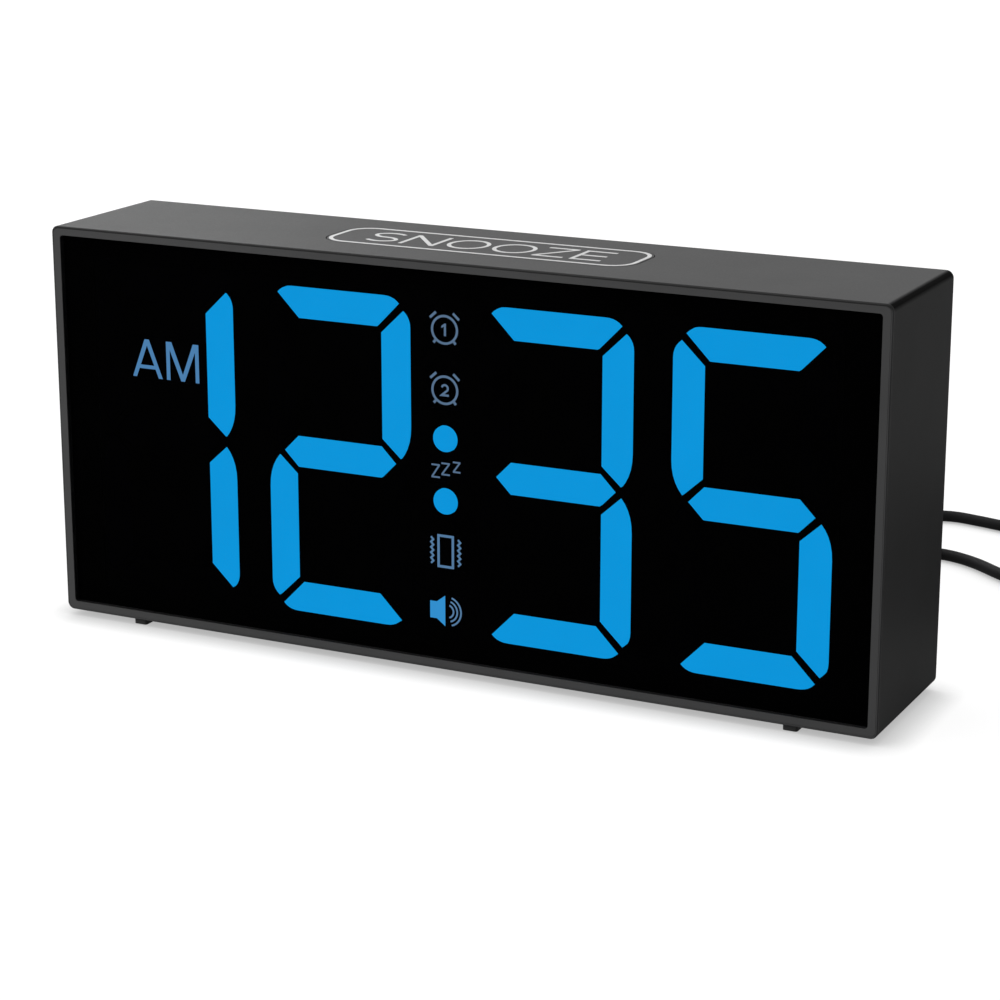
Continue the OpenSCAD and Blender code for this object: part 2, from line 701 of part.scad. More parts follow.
// Moulded plug with a grip and a tapering tail that is grooved to bend
module plug_body(x) {
    tail = 17.5;
    groove = 0.5;
    rib_pitch = 2.4;
    translate([x, plug_y, jack_z]) rotate([-90, 0, 0]) difference() {
        rotate_extrude() polygon([[0, 0], [4.3, 0], [4.8, 0.6], [4.8, 12], [3.8, 16.5], [3.2, tail], [2.2, plug_l], [0, plug_l]]);
        for (i = [1:5]) rotate_extrude() translate([3.2 - i * rib_pitch / (plug_l - tail) - groove, tail + i * rib_pitch])
            square([2, 1]);
    }
}

module power_plug() color([0.07, 0.07, 0.07]) {
    plug_body(power_jack_x);
}

module power_plug_barrel() color([0.75, 0.75, 0.77]) {
    difference() {
        rod(power_jack_x, jack_z, 5.5, cover_in_y - 8.8, plug_y);
        rod(power_jack_x, jack_z, 2.5, cover_in_y - 10, cover_in_y - 0.8);
    }
}

module power_cord() color([0.06, 0.06, 0.06]) {
    tube(route(power_route, 2), cord_r, 8);
}

module power_cord_coil() color([0.06, 0.06, 0.06]) {
    line = coil_line(power_coil_at, power_coil_turns, power_reach, power_tail);
    echo(power_coil_least_gap = least_gap(line));
    tube(line, cord_r, 6);
}

// Strap round the bundle of a coil
module coil_tie(at, reach, turns, a) {
    band = 0.5;
    strap_w = 6;
    inside = 0.7;
    r0 = reach - coil_pitch * turns / coil_layers - cord_r - inside;
    r1 = reach + cord_r + inside;
    z0 = coil_z - cord_r - 0.2;
    z1 = coil_z + (coil_layers - 1) * coil_pitch + cord_r + 0.3;
    translate([at.x, at.y, 0]) rotate([0, 0, a]) translate([0, strap_w / 2, 0]) rotate([90, 0, 0])
        linear_extrude(strap_w) difference() {
            translate([r0 - band, z0 - band]) square([r1 - r0 + 2 * band, z1 - z0 + 2 * band]);
            translate([r0, z0]) square([r1 - r0, z1 - z0]);
        }
}

module power_cord_tie() color([0.1, 0.1, 0.1]) {
    coil_tie(power_coil_at, power_reach, power_coil_turns, 270);
}

// Places a piece drawn along +X at the end of the power lead
module at_usb() {
    translate(usb_at) rotate([0, 0, usb_turn]) children();
}

module usb_plug_body() color([0.07, 0.07, 0.07]) {
    at_usb() {
        rotate([0, 90, 0]) cylinder(r1 = 1.8, r2 = 2.8, h = 8);
        translate([8 - eps, 0, 0]) rotate([90, 0, 90]) linear_extrude(24) polygon(round_rect(15.5, 7.6, 1.6));
    }
}

module usb_shell() color([0.78, 0.78, 0.8]) {
    at_usb() translate([32, 0, 0]) difference() {
        rotate([90, 0, 90]) linear_extrude(18.5) square([12, 4.5], center = true);
        translate([1, 0, 0]) rotate([90, 0, 90]) linear_extrude(20) square([11.4, 3.9], center = true);
        for (y = [-3.2, 3.2]) translate([7, y - 1.2, -3]) cube([2.4, 2.4, 6]);
    }
}

module usb_tongue() color([0.9, 0.9, 0.9]) {
    at_usb() translate([33, -5.6, 0.1]) cube([16, 11.2, 1.8]);
}

module shaker_plug() color([0.07, 0.07, 0.07]) {
    plug_body(shaker_jack_x);
}

module shaker_plug_shaft() color([0.78, 0.76, 0.7]) {
    difference() {
        rod(shaker_jack_x, jack_z, 3.5, control_back_y + 1.2, plug_y);
        for (y = [4, 8]) translate([shaker_jack_x, control_back_y + 1.2 + y, jack_z]) rotate([-90, 0, 0]) rotate_extrude()
            translate([1.5, 0]) square([1, 0.6]);
    }
}

module shaker_cord() color([0.06, 0.06, 0.06]) {
    tube(route(shaker_route, 2), cord_r, 8);
}

module shaker_cord_coil() color([0.06, 0.06, 0.06]) {
    line = coil_line(shaker_coil_at, shaker_coil_turns, shaker_reach, shaker_tail);
    echo(shaker_coil_least_gap = least_gap(line));
    tube(line, cord_r, 6);
}

module shaker_cord_tie() color([0.1, 0.1, 0.1]) {
    coil_tie(shaker_coil_at, shaker_reach, shaker_coil_turns, 200);
}

// Shaker

// Moves a piece drawn about the shaker's axis to its place
module at_puck() {
    translate([puck_x, puck_y, 0]) children();
}

module puck_bosses(d, z0, z1) {
    for (a = puck_boss_angles) translate([puck_boss_r * cos(a), puck_boss_r * sin(a), z0]) cylinder(d = d, h = z1 - z0);
}

// Round hole for the strain relief, half in each shell
module relief_hole() {
    translate([0, puck_d / 2 - 4, puck_mid_z]) rotate([-90, 0, 0]) cylinder(d = 7.2, h = 6);
}

module shaker_base() color([0.09, 0.09, 0.09]) {
    floor_top = puck_pad + puck_wall;
    at_puck() difference() {
        union() {
            rotate_extrude() polygon([[0, puck_pad], [puck_r - 1.5, puck_pad], [puck_r, puck_pad + 1.5],
                [puck_r, puck_mid_z - split], [puck_r - puck_wall, puck_mid_z - split],
                [puck_r - puck_wall, floor_top], [0, floor_top]]);
            puck_bosses(6, floor_top - eps, puck_mid_z - split);
            for (x = [-17, -4]) block([x - 1.5, -7, floor_top - eps], [x + 1.5, 7, 8]);
            for (s = [-1, 1]) translate([clamp_x, s * clamp_y, floor_top - eps]) cylinder(d = 5.5, h = 7.4);
        }
        puck_bosses(2.6, 0, puck_mid_z);
        puck_bosses(5.4, 0, floor_top + 0.4);
        for (s = [-1, 1]) translate([clamp_x, s * clamp_y, floor_top + 1]) cylinder(d = pilot_d, h = 8);
        translate([-22, 0, puck_mid_z]) rotate([0, 90, 0]) cylinder(r = motor_r + 0.05, h = 24);
        relief_hole();
    }
}

module shaker_cover() color([0.09, 0.09, 0.09]) {
    edge = 3;
    roof = puck_h - puck_wall;
    at_puck() difference() {
        union() {
            rotate_extrude() polygon(concat(
                [[puck_r - puck_wall, roof], [puck_r - puck_wall, puck_mid_z + split], [puck_r, puck_mid_z + split]],
                arc_points([puck_r - edge, puck_h - edge], edge, 0, 90, 6), [[0, puck_h], [0, roof]]));
            puck_bosses(6, puck_mid_z + split, roof + eps);
        }
        puck_bosses(2, 0, roof - 1);
        relief_hole();
    }
}

module shaker_pad() color([0.05, 0.05, 0.05]) {
    at_puck() cylinder(r = puck_r - 3, h = puck_pad);
}

module shaker_strain_relief() color([0.06, 0.06, 0.06]) {
    at_puck() translate([0, puck_r, puck_mid_z]) rotate([-90, 0, 0]) rotate_extrude()
        polygon([[0, -3.7], [4.2, -3.7], [4.2, -2.6], [3.5, -2.6], [3.5, 0.4], [2, relief_l], [0, relief_l]]);
}

module shaker_motor() color([0.7, 0.7, 0.72]) {
    at_puck() translate([-21, 0, puck_mid_z]) rotate([0, 90, 0]) difference() {
        union() {
            cylinder(r = motor_r, h = 20.5);
            cylinder(r = 3, h = 22);
        }
        translate([0, 0, 15]) cylinder(d = 2.1, h = 8);
    }
}

module motor_shaft() color([0.8, 0.8, 0.82]) {
    at_puck() translate([-5.5, 0, puck_mid_z]) rotate([0, 90, 0]) cylinder(d = 2, h = 20);
}

// Off-centre weight, hanging at rest
module eccentric_weight() color([0.72, 0.6, 0.3]) {
    at_puck() translate([4, 0, puck_mid_z]) difference() {
        union() {
            rotate([0, 90, 0]) difference() {
                cylinder(r = weight_r, h = 9);
                translate([-weight_r - 1, -weight_r - 1, -1]) cube([weight_r + 1, 2 * weight_r + 2, 11]);
            }
            rotate([0, 90, 0]) cylinder(r = 2.6, h = 9);
        }
        translate([-1, 0, 0]) rotate([0, 90, 0]) cylinder(d = 2.02, h = 11);
    }
}

// Strap over the motor, with two screwed ears
module motor_clamp() color([0.65, 0.65, 0.67]) {
    ear_bottom = puck_pad + puck_wall + 7.4;
    at_puck() translate([clamp_x - 3, 0, 0]) difference() {
        union() {
            translate([0, 0, puck_mid_z]) rotate([0, 90, 0]) cylinder(r = motor_r + 0.9, h = 6);
            block([0, -clamp_y - 3, ear_bottom], [6, clamp_y + 3, ear_bottom + 0.9]);
        }
        translate([-1, 0, puck_mid_z]) rotate([0, 90, 0]) cylinder(r = motor_r + 0.05, h = 8);
        block([-1, -clamp_y - 4, 0], [7, clamp_y + 4, ear_bottom]);
        for (s = [-1, 1]) translate([3, s * clamp_y, 0]) cylinder(d = 2.2, h = 20);
    }
}

module shaker_screws() color([0.6, 0.6, 0.62]) {
    ear_top = puck_pad + puck_wall + 7.4 + 0.9;
    at_puck() {
        puck_bosses(4.6, 1.3, puck_pad + puck_wall + 0.4);
        puck_bosses(1.9, 1.4, puck_mid_z + 6);
        for (s = [-1, 1]) translate([clamp_x, s * clamp_y, 0]) {
            translate([0, 0, ear_top]) cylinder(d = 3.6, h = 1.3);
            translate([0, 0, ear_top - 5]) cylinder(d = shank_d, h = 5 + eps);
        }
    }
}

front_frame();
edge_bead();
case_sleeve();
rear_cover();
feet();
case_screws();
display_lens();
led_reflector();
lit_segments();
dark_segments();
colon_dots();
indicator_windows();
display_board();
led_chips();
board_chips();
ribbon_cable();
board_screws();
snooze_key();
snooze_board();
snooze_switches();
control_board();
key_switches();
slide_switches();
power_jack();
shaker_jack();
time_button();
alarm_one_button();
alarm_two_button();
up_button();
down_button();
mode_slider();
dimmer_slider();
speaker_frame();
speaker_magnet();
speaker_cone();
battery_door();
coin_cell();
cell_contact();
power_plug();
power_plug_barrel();
power_cord();
power_cord_coil();
power_cord_tie();
usb_plug_body();
usb_shell();
usb_tongue();
shaker_plug();
shaker_plug_shaft();
shaker_cord();
shaker_cord_coil();
shaker_cord_tie();
shaker_base();
shaker_cover();
shaker_pad();
shaker_strain_relief();
shaker_motor();
motor_shaft();
eccentric_weight();
motor_clamp();
shaker_screws();
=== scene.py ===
"""Looks of a vibrating alarm clock: finishes, printed signs, lit icons, leads, floor and light."""
import math

import bmesh
import bpy
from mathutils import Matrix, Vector


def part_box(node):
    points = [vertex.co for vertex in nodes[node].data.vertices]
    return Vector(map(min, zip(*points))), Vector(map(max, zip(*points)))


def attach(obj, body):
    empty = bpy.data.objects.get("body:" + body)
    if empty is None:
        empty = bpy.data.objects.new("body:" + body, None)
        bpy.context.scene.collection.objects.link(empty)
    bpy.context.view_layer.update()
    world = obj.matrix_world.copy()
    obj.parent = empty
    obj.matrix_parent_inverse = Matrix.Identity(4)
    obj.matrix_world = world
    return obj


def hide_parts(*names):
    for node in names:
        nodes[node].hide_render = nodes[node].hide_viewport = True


MM = 0.001
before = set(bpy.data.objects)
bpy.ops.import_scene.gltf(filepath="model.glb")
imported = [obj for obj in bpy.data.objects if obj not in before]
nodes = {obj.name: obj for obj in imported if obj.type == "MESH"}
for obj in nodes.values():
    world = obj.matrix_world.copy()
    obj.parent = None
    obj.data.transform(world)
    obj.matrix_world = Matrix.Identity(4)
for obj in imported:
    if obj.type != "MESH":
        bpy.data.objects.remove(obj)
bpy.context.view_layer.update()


# Objects of the scene

def add_to_scene(name, data):
    thing = bpy.data.objects.new(name, data)
    bpy.context.scene.collection.objects.link(thing)
    return thing


def aim(thing, direction):
    """Turns a camera or a lamp to look that way."""
    thing.rotation_mode = "QUATERNION"
    thing.rotation_quaternion = direction.to_track_quat("-Z", "Y")


# Camera

CAMERA_TARGET = Vector((4.09, 0, 36.82)) * MM
CAMERA_AZIMUTH = math.radians(26.24)
CAMERA_ELEVATION = math.radians(15.73)
CAMERA_DISTANCE = 637.1 * MM
CAMERA_LENS = 100.465
CAMERA_SENSOR = 36
NEAREST_SEEN = 0.01
FARTHEST_SEEN = 50


def make_camera():
    data = bpy.data.cameras.new("camera")
    data.lens = CAMERA_LENS
    data.sensor_width = CAMERA_SENSOR
    data.clip_start = NEAREST_SEEN
    data.clip_end = FARTHEST_SEEN
    camera = add_to_scene("camera", data)
    level = math.cos(CAMERA_ELEVATION)
    sideways = math.sin(CAMERA_AZIMUTH) * level
    forwards = -math.cos(CAMERA_AZIMUTH) * level
    to_camera = Vector((sideways, forwards, math.sin(CAMERA_ELEVATION)))
    camera.location = CAMERA_TARGET + to_camera * CAMERA_DISTANCE
    aim(camera, -to_camera)
    bpy.context.scene.camera = camera


make_camera()


# Shader nodes

NOISE_LOW = 0.3
NOISE_HIGH = 0.7


def new_material(name):
    material = bpy.data.materials.new(name)
    material.use_nodes = True
    return material, material.node_tree, material.node_tree.nodes["Principled BSDF"]


def part_coords(tree):
    """Place in the part's frame at rest, in metres."""
    return tree.nodes.new("ShaderNodeTexCoord").outputs["Object"]


def part_axes(tree):
    """X, Y and Z in the part's frame at rest, in metres."""
    axes = tree.nodes.new("ShaderNodeSeparateXYZ")
    tree.links.new(part_coords(tree), axes.inputs["Vector"])
    return axes.outputs


def noise(tree, size, detail, stretch=(1, 1, 1)):
    """Noise with features of that size, in metres."""
    mapping = tree.nodes.new("ShaderNodeMapping")
    mapping.inputs["Scale"].default_value = [s / size for s in stretch]
    node = tree.nodes.new("ShaderNodeTexNoise")
    node.inputs["Scale"].default_value = 1
    node.inputs["Detail"].default_value = detail
    tree.links.new(part_coords(tree), mapping.inputs["Vector"])
    tree.links.new(mapping.outputs["Vector"], node.inputs["Vector"])
    return node.outputs["Fac"]


def between(tree, value, start, end, first, second):
    """Colour that runs from first to second as value goes from start to end."""
    node = tree.nodes.new("ShaderNodeValToRGB")
    node.color_ramp.elements[0].position = start
    node.color_ramp.elements[1].position = end
    node.color_ramp.elements[0].color = (*first, 1)
    node.color_ramp.elements[1].color = (*second, 1)
    tree.links.new(value, node.inputs["Fac"])
    return node.outputs["Color"]


def ramp(tree, value, start, end, low=0, high=1):
    """Number that runs from low to high as value goes from start to end."""
    node = tree.nodes.new("ShaderNodeMapRange")
    node.inputs["From Min"].default_value = start
    node.inputs["From Max"].default_value = end
    node.inputs["To Min"].default_value = low
    node.inputs["To Max"].default_value = high
    tree.links.new(value, node.inputs["Value"])
    return node.outputs["Result"]


def math_node(tree, operation, *values):
    node = tree.nodes.new("ShaderNodeMath")
    node.operation = operation
    for socket, value in zip(node.inputs, values):
        if isinstance(value, (int, float)):
            socket.default_value = value
        else:
            tree.links.new(value, socket)
    return node.outputs["Value"]


def length_node(tree, vector):
    node = tree.nodes.new("ShaderNodeVectorMath")
    node.operation = "LENGTH"
    tree.links.new(vector, node.inputs[0])
    return node.outputs["Value"]


def bump(tree, shader, height, depth):
    node = tree.nodes.new("ShaderNodeBump")
    node.inputs["Strength"].default_value = 1
    node.inputs["Distance"].default_value = depth
    tree.links.new(height, node.inputs["Height"])
    tree.links.new(node.outputs["Normal"], shader.inputs["Normal"])


def tone(colour, factor):
    return [min(1, c * factor) for c in colour]


def darken(material, share, colour):
    """Turns a material's base colour to a darker one by that share."""
    tree = material.node_tree
    base = tree.nodes["Principled BSDF"].inputs["Base Color"]
    mix = tree.nodes.new("ShaderNodeMix")
    mix.data_type = "RGBA"
    tree.links.new(share, mix.inputs["Factor"])
    tree.links.new(base.links[0].from_socket, mix.inputs["A"])
    mix.inputs["B"].default_value = (*colour, 1)
    tree.links.new(mix.outputs["Result"], base)


# Kinds of finish

DRIFT_SIZE = 14 * MM
ROUGHNESS_SPREAD = 0.05

CASE_COLOUR = (0.087, 0.087, 0.0875)
# Painted shade on the rounded long edges of the case, and how far it fades in from the flat
PAINTED_EDGE_SHADE = (0.003, 0.003, 0.003)
EDGE_ROUND = 1.7 * MM
EDGE_SHADE_FADE = EDGE_ROUND / 2

BEZEL_COLOUR = (0.065, 0.065, 0.0655)
# Painted shade along the top run of the bead, and the heights below the top where it fades in
PAINTED_BEAD_SHADE = (0.024, 0.024, 0.024)
BEAD_SHADE_FROM = 1.6 * MM
BEAD_SHADE_TO = 0.7 * MM

LENS_COLOUR = (0.0008, 0.0008, 0.001)
LENS_HAZE = 0.3
HAZE_SIZE = 6 * MM
LENS_ALPHA = 0.35
# Share of the light that gets through both faces of the lens
LENS_PASS = (1 - LENS_ALPHA) ** 2

GLOW_PATCH = 9 * MM
GLOW_DIP = 0.97
GLOW_DIP_AT = 0.2
GLOW_FULL_AT = 0.8
DIFFUSER_COLOUR = (0.01, 0.012, 0.015, 1)

TRACK_CELL = 4 * MM
TRACK_EDGE = 0.06
RESIST_EDGE = 0.1
TRACK_COLOUR = (0.05, 0.22, 0.09)
RESIST_COLOUR = (0.015, 0.1, 0.04)
RESIST_STEP = 0.02 * MM

# Spacing of a wave texture's bands at scale 1
WAVE_PERIOD = 0.314
RIB_LOW = 0.1
RIB_HIGH = 0.9
RIB_SHADE = 0.6
RIB_DEPTH = 0.15 * MM


def finish(name, colour, roughness, grain, depth, vary=0.12, specular=0.5, metallic=0.0, stretch=(1, 1, 1)):
    """Surface whose colour drifts a little, with a fine grain of that size and depth in millimetres."""
    material, tree, shader = new_material(name)
    drift = noise(tree, DRIFT_SIZE, detail=3)
    colours = between(tree, drift, NOISE_LOW, NOISE_HIGH, tone(colour, 1 - vary), tone(colour, 1 + vary))
    tree.links.new(colours, shader.inputs["Base Color"])
    fine = noise(tree, grain * MM, detail=2, stretch=stretch)
    smoothest = roughness - ROUGHNESS_SPREAD
    roughest = roughness + ROUGHNESS_SPREAD
    tree.links.new(ramp(tree, fine, NOISE_LOW, NOISE_HIGH, smoothest, roughest), shader.inputs["Roughness"])
    bump(tree, shader, fine, depth * MM)
    shader.inputs["Specular IOR Level"].default_value = specular
    shader.inputs["Metallic"].default_value = metallic
    return material


def case_finish():
    """Textured moulding with painted shade on its rounded long edges, which come out darker than its flat
    sides.
    """
    material = finish("textured_case_plastic", CASE_COLOUR, roughness=0.45, grain=0.35, depth=0.02,
                      vary=0.03, specular=0.004)
    tree = material.node_tree
    axes = part_axes(tree)
    low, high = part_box("case_sleeve")
    past_flat = []
    for axis, near, far in (("X", low.x, high.x), ("Z", low.z, high.z)):
        centred = math_node(tree, "SUBTRACT", axes[axis], (near + far) / 2)
        distance = math_node(tree, "ABSOLUTE", centred)
        past_flat.append(math_node(tree, "SUBTRACT", distance, (far - near) / 2 - EDGE_ROUND))
    corner = math_node(tree, "MINIMUM", *past_flat)
    # Painted shade on the rounded long edges
    darken(material, ramp(tree, corner, 0, EDGE_SHADE_FADE), PAINTED_EDGE_SHADE)
    return material


def bead_finish():
    """Bezel plastic with painted shade along the top run of the bead."""
    material = finish("edge_bead_plastic", BEZEL_COLOUR, roughness=0.5, grain=0.5, depth=0.01,
                      specular=0.05)
    tree = material.node_tree
    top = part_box("edge_bead")[1].z
    share = ramp(tree, part_axes(tree)["Z"], top - BEAD_SHADE_FROM, top - BEAD_SHADE_TO)
    # Painted shade along the bead's top run
    darken(material, share, PAINTED_BEAD_SHADE)
    return material


def glow(name, colour, level):
    """Lit diffuser with faint darker patches, at that level when seen through the lens."""
    material, tree, shader = new_material(name)
    patches = noise(tree, GLOW_PATCH, detail=1)
    colours = between(tree, patches, GLOW_DIP_AT, GLOW_FULL_AT, tone(colour, GLOW_DIP), colour)
    tree.links.new(colours, shader.inputs["Emission Color"])
    shader.inputs["Emission Strength"].default_value = level / LENS_PASS
    shader.inputs["Base Color"].default_value = DIFFUSER_COLOUR
    shader.inputs["Roughness"].default_value = 0.6
    shader.inputs["Specular IOR Level"].default_value = 0.05
    return material


def smoked():
    """Dark see-through acrylic with an anti-glare face and a faint haze."""
    material, tree, shader = new_material("smoked_acrylic")
    haze = noise(tree, HAZE_SIZE, detail=2)
    clear = tone(LENS_COLOUR, 1 - LENS_HAZE)
    hazy = tone(LENS_COLOUR, 1 + LENS_HAZE)
    tree.links.new(between(tree, haze, NOISE_LOW, NOISE_HIGH, clear, hazy), shader.inputs["Base Color"])
    shader.inputs["Alpha"].default_value = LENS_ALPHA
    shader.inputs["Roughness"].default_value = 0.4
    shader.inputs["Specular IOR Level"].default_value = 0
    material.surface_render_method = "BLENDED"
    return material


def board():
    """Circuit board: dark green resist with a net of paler tracks."""
    material, tree, shader = new_material("circuit_board")
    cells = tree.nodes.new("ShaderNodeTexVoronoi")
    cells.feature = "DISTANCE_TO_EDGE"
    cells.inputs["Scale"].default_value = 1 / TRACK_CELL
    tree.links.new(part_coords(tree), cells.inputs["Vector"])
    from_track = cells.outputs["Distance"]
    colours = between(tree, from_track, TRACK_EDGE, RESIST_EDGE, TRACK_COLOUR, RESIST_COLOUR)
    tree.links.new(colours, shader.inputs["Base Color"])
    bump(tree, shader, from_track, RESIST_STEP)
    shader.inputs["Roughness"].default_value = 0.4
    return material


def ribbed(name, colour, pitch, axis):
    """Flat cable or webbing: fine parallel ribs, that many millimetres apart along one axis."""
    material, tree, shader = new_material(name)
    wave = tree.nodes.new("ShaderNodeTexWave")
    wave.bands_direction = axis
    wave.inputs["Scale"].default_value = WAVE_PERIOD / (pitch * MM)
    tree.links.new(part_coords(tree), wave.inputs["Vector"])
    shades = between(tree, wave.outputs["Fac"], RIB_LOW, RIB_HIGH, tone(colour, RIB_SHADE), colour)
    tree.links.new(shades, shader.inputs["Base Color"])
    bump(tree, shader, wave.outputs["Fac"], RIB_DEPTH)
    shader.inputs["Roughness"].default_value = 0.7
    return material


# Materials; a finish has a name, colour, roughness, and the size and depth of its grain in millimetres

BRUSHED = (1, 12, 1)
CASE = case_finish()
BEAD = bead_finish()
BEZEL = finish("bezel_plastic", BEZEL_COLOUR, 0.5, 0.35, 0.02, vary=0.05, specular=0.1)
PUCK = finish("textured_puck_plastic", (0.06, 0.06, 0.061), 0.5, 0.35, 0.03, specular=0.2)
REAR = finish("rear_plastic", (0.05, 0.05, 0.051), 0.58, 0.5, 0.04, vary=0.05, specular=0.25)
BUTTON = finish("button_plastic", (0.08, 0.08, 0.082), 0.42, 0.6, 0.01, specular=0.4)
DARK = finish("dark_plastic", (0.02, 0.02, 0.02), 0.5, 0.5, 0.015)
WHITE_PLASTIC = finish("white_plastic", (0.8, 0.8, 0.78), 0.4, 0.5, 0.01, vary=0.03)
MASK = finish("mask_print", (0.001, 0.001, 0.001), 0.8, 0.5, 0.005, specular=0)
WELL = finish("reflector_black", (0.002, 0.002, 0.002), 0.8, 0.5, 0.01, specular=0)
UNLIT = finish("unlit_diffuser", (0.002, 0.002, 0.0025), 0.8, 0.5, 0.01, specular=0)
RUBBER = finish("rubber", (0.014, 0.014, 0.014), 0.75, 0.3, 0.03, specular=0.3)
LEAD = finish("lead_rubber", (0.014, 0.014, 0.0145), 0.6, 0.8, 0.02, specular=0.05)
STEEL = finish("steel", (0.55, 0.55, 0.56), 0.3, 0.2, 0.004, metallic=1, stretch=BRUSHED)
BRASS = finish("brass", (0.75, 0.55, 0.25), 0.32, 0.2, 0.004, metallic=1, stretch=BRUSHED)
FERRITE = finish("ferrite", (0.05, 0.05, 0.052), 0.6, 0.4, 0.03)
CONE = finish("speaker_paper", (0.03, 0.03, 0.03), 0.85, 0.6, 0.08, specular=0.2)
CHIP = finish("chip_black", (0.02, 0.02, 0.022), 0.5, 0.3, 0.015)
RESIN = finish("chip_resin", (0.75, 0.72, 0.5), 0.35, 0.4, 0.01)
PAINT = finish("white_print", (0.54, 0.54, 0.54), 0.55, 0.25, 0.006, vary=0.04, specular=0.1)
GREY_PAINT = finish("grey_print", (0.42, 0.42, 0.43), 0.55, 0.25, 0.006, vary=0.06)
BOARD = board()
FLAT_CABLE = ribbed("flat_cable", (0.55, 0.55, 0.53), 1.27, "X")
WEBBING = ribbed("webbing", (0.03, 0.03, 0.031), 0.7, "Z")
LENS = smoked()
LIT = glow("lit_blue", (0.003, 0.424, 1.0), 0.708)
LIT_SOFT = glow("lit_soft_blue", (0.05, 0.44, 1.0), 0.62)
LIT_PALE = glow("lit_pale_blue", (0.17, 0.5, 1.0), 0.42)
LIT_DIM = glow("lit_dim_blue", (0.26, 0.56, 1.0), 0.34)
LIT_GREY = glow("lit_grey", (0.37, 0.62, 1.0), 0.25)

NODE_MATERIALS = {
    "front_frame": BEZEL, "edge_bead": BEAD, "case_sleeve": CASE, "snooze_key": CASE, "rear_cover": REAR,
    "feet": RUBBER, "case_screws": STEEL, "board_screws": STEEL, "shaker_screws": STEEL,
    "display_lens": LENS, "led_reflector": WELL, "lit_segments": LIT, "colon_dots": LIT,
    "dark_segments": UNLIT, "indicator_windows": UNLIT,
    "display_board": BOARD, "snooze_board": BOARD, "control_board": BOARD,
    "led_chips": RESIN, "board_chips": CHIP, "ribbon_cable": FLAT_CABLE,
    "snooze_switches": CHIP, "key_switches": CHIP, "slide_switches": STEEL,
    "power_jack": DARK, "shaker_jack": DARK,
    "time_button": BUTTON, "alarm_one_button": BUTTON, "alarm_two_button": BUTTON,
    "up_button": BUTTON, "down_button": BUTTON, "mode_slider": BUTTON, "dimmer_slider": BUTTON,
    "speaker_frame": STEEL, "speaker_magnet": FERRITE, "speaker_cone": CONE,
    "battery_door": REAR, "coin_cell": STEEL, "cell_contact": BRASS,
    "power_plug": DARK, "shaker_plug": DARK, "power_plug_barrel": STEEL, "shaker_plug_shaft": STEEL,
    "power_cord": LEAD, "power_cord_coil": LEAD, "shaker_cord": LEAD, "shaker_cord_coil": LEAD,
    "power_cord_tie": WEBBING, "shaker_cord_tie": WEBBING,
    "usb_plug_body": DARK, "usb_shell": STEEL, "usb_tongue": WHITE_PLASTIC,
    "shaker_base": REAR, "shaker_cover": PUCK, "shaker_pad": RUBBER, "shaker_strain_relief": RUBBER,
    "shaker_motor": STEEL, "motor_shaft": STEEL, "eccentric_weight": BRASS, "motor_clamp": STEEL,
}

for node_name, node_material in NODE_MATERIALS.items():
    slots = nodes[node_name].data.materials
    slots.clear()
    slots.append(node_material)


# Leads, in millimetres along the routes of their solids

CORD_D = 3.0
CORD_ROUND = 4
CURVE_STEPS = 4
FLOOR_Z = CORD_D / 2 + 0.1
LIFT_Z = FLOOR_Z + 0.3
PLUG_END_Y = 50.8
JACK_Z = 22

COIL_D = 31.2
COIL_PITCH = CORD_D + 0.5
COIL_Z = CORD_D / 2 + 0.8
COIL_LAYERS = 4
LOOP_POINTS = 24

POWER_COIL = Vector((120, 130))
POWER_TURNS = 10 + 30 / 360
POWER_REACH = COIL_D / 2 + POWER_TURNS / COIL_LAYERS * COIL_PITCH / 2
POWER_TAIL = (0.12, 0.25, 0.4, 0.55, 0.7, 0.85, 1)
POWER_TAIL_LEVEL = 0.2
USB_AT = Vector((149.5, 136, 3.85))

SHAKER_COIL = Vector((134, 76))
SHAKER_TURNS = 16 + 90 / 360
SHAKER_REACH = COIL_D / 2 + SHAKER_TURNS / COIL_LAYERS * COIL_PITCH / 2
SHAKER_TAIL = (0.25, 0.5, 0.75, 1)
RELIEF_END = Vector((SHAKER_COIL.x + SHAKER_REACH, 64, 11.5))

POWER_ROUTE = [
    (34, PLUG_END_Y, JACK_Z), (34, 58, 21.6), (34.2, 66, 19.6), (34.8, 76, 15), (35.8, 86, 9.6),
    (37.2, 96, 5), (39.2, 106, 2.4), (42, 117.4, FLOOR_Z), (45.5, 128.8, FLOOR_Z),
    (50.5, 139.6, FLOOR_Z), (57, 147.8, FLOOR_Z), (65, 151.3, FLOOR_Z), (73, 150.2, FLOOR_Z),
    (81, 148.3, FLOOR_Z), (90, 147.6, FLOOR_Z), (99, 148.4, FLOOR_Z),
    (108, POWER_COIL.y + POWER_REACH - 0.2, LIFT_Z),
    (POWER_COIL.x - CORD_D, POWER_COIL.y + POWER_REACH, COIL_Z),
]
SHAKER_ROUTE = [
    (56, PLUG_END_Y, JACK_Z), (56, 58, 21.6), (56.1, 65, 19.4), (56.6, 74, 14.6), (57.6, 83, 9),
    (59, 92, 5), (61, 100.6, 2.6), (63.4, 107.6, FLOOR_Z), (66.8, 113.5, FLOOR_Z),
    (71.6, 116.2, FLOOR_Z), (77.2, 115.5, FLOOR_Z), (84, 112.1, FLOOR_Z), (92, 106, FLOOR_Z),
    (100, 101, FLOOR_Z), (109, 98.6, FLOOR_Z),
    (120, SHAKER_COIL.y + SHAKER_REACH, LIFT_Z),
    (SHAKER_COIL.x - CORD_D, SHAKER_COIL.y + SHAKER_REACH, COIL_Z),
]


def coil_level(turn, layer_turns):
    """Layer that a coil has reached, with a climb over the half turn where the spiral reverses."""
    nearest = round(turn / layer_turns)
    past = turn - nearest * layer_turns
    if nearest < 1 or nearest >= COIL_LAYERS:
        return min(max(math.floor(turn / layer_turns), 0), COIL_LAYERS - 1)
    return nearest - 0.5 + max(-0.5, min(0.5, 2 * past))


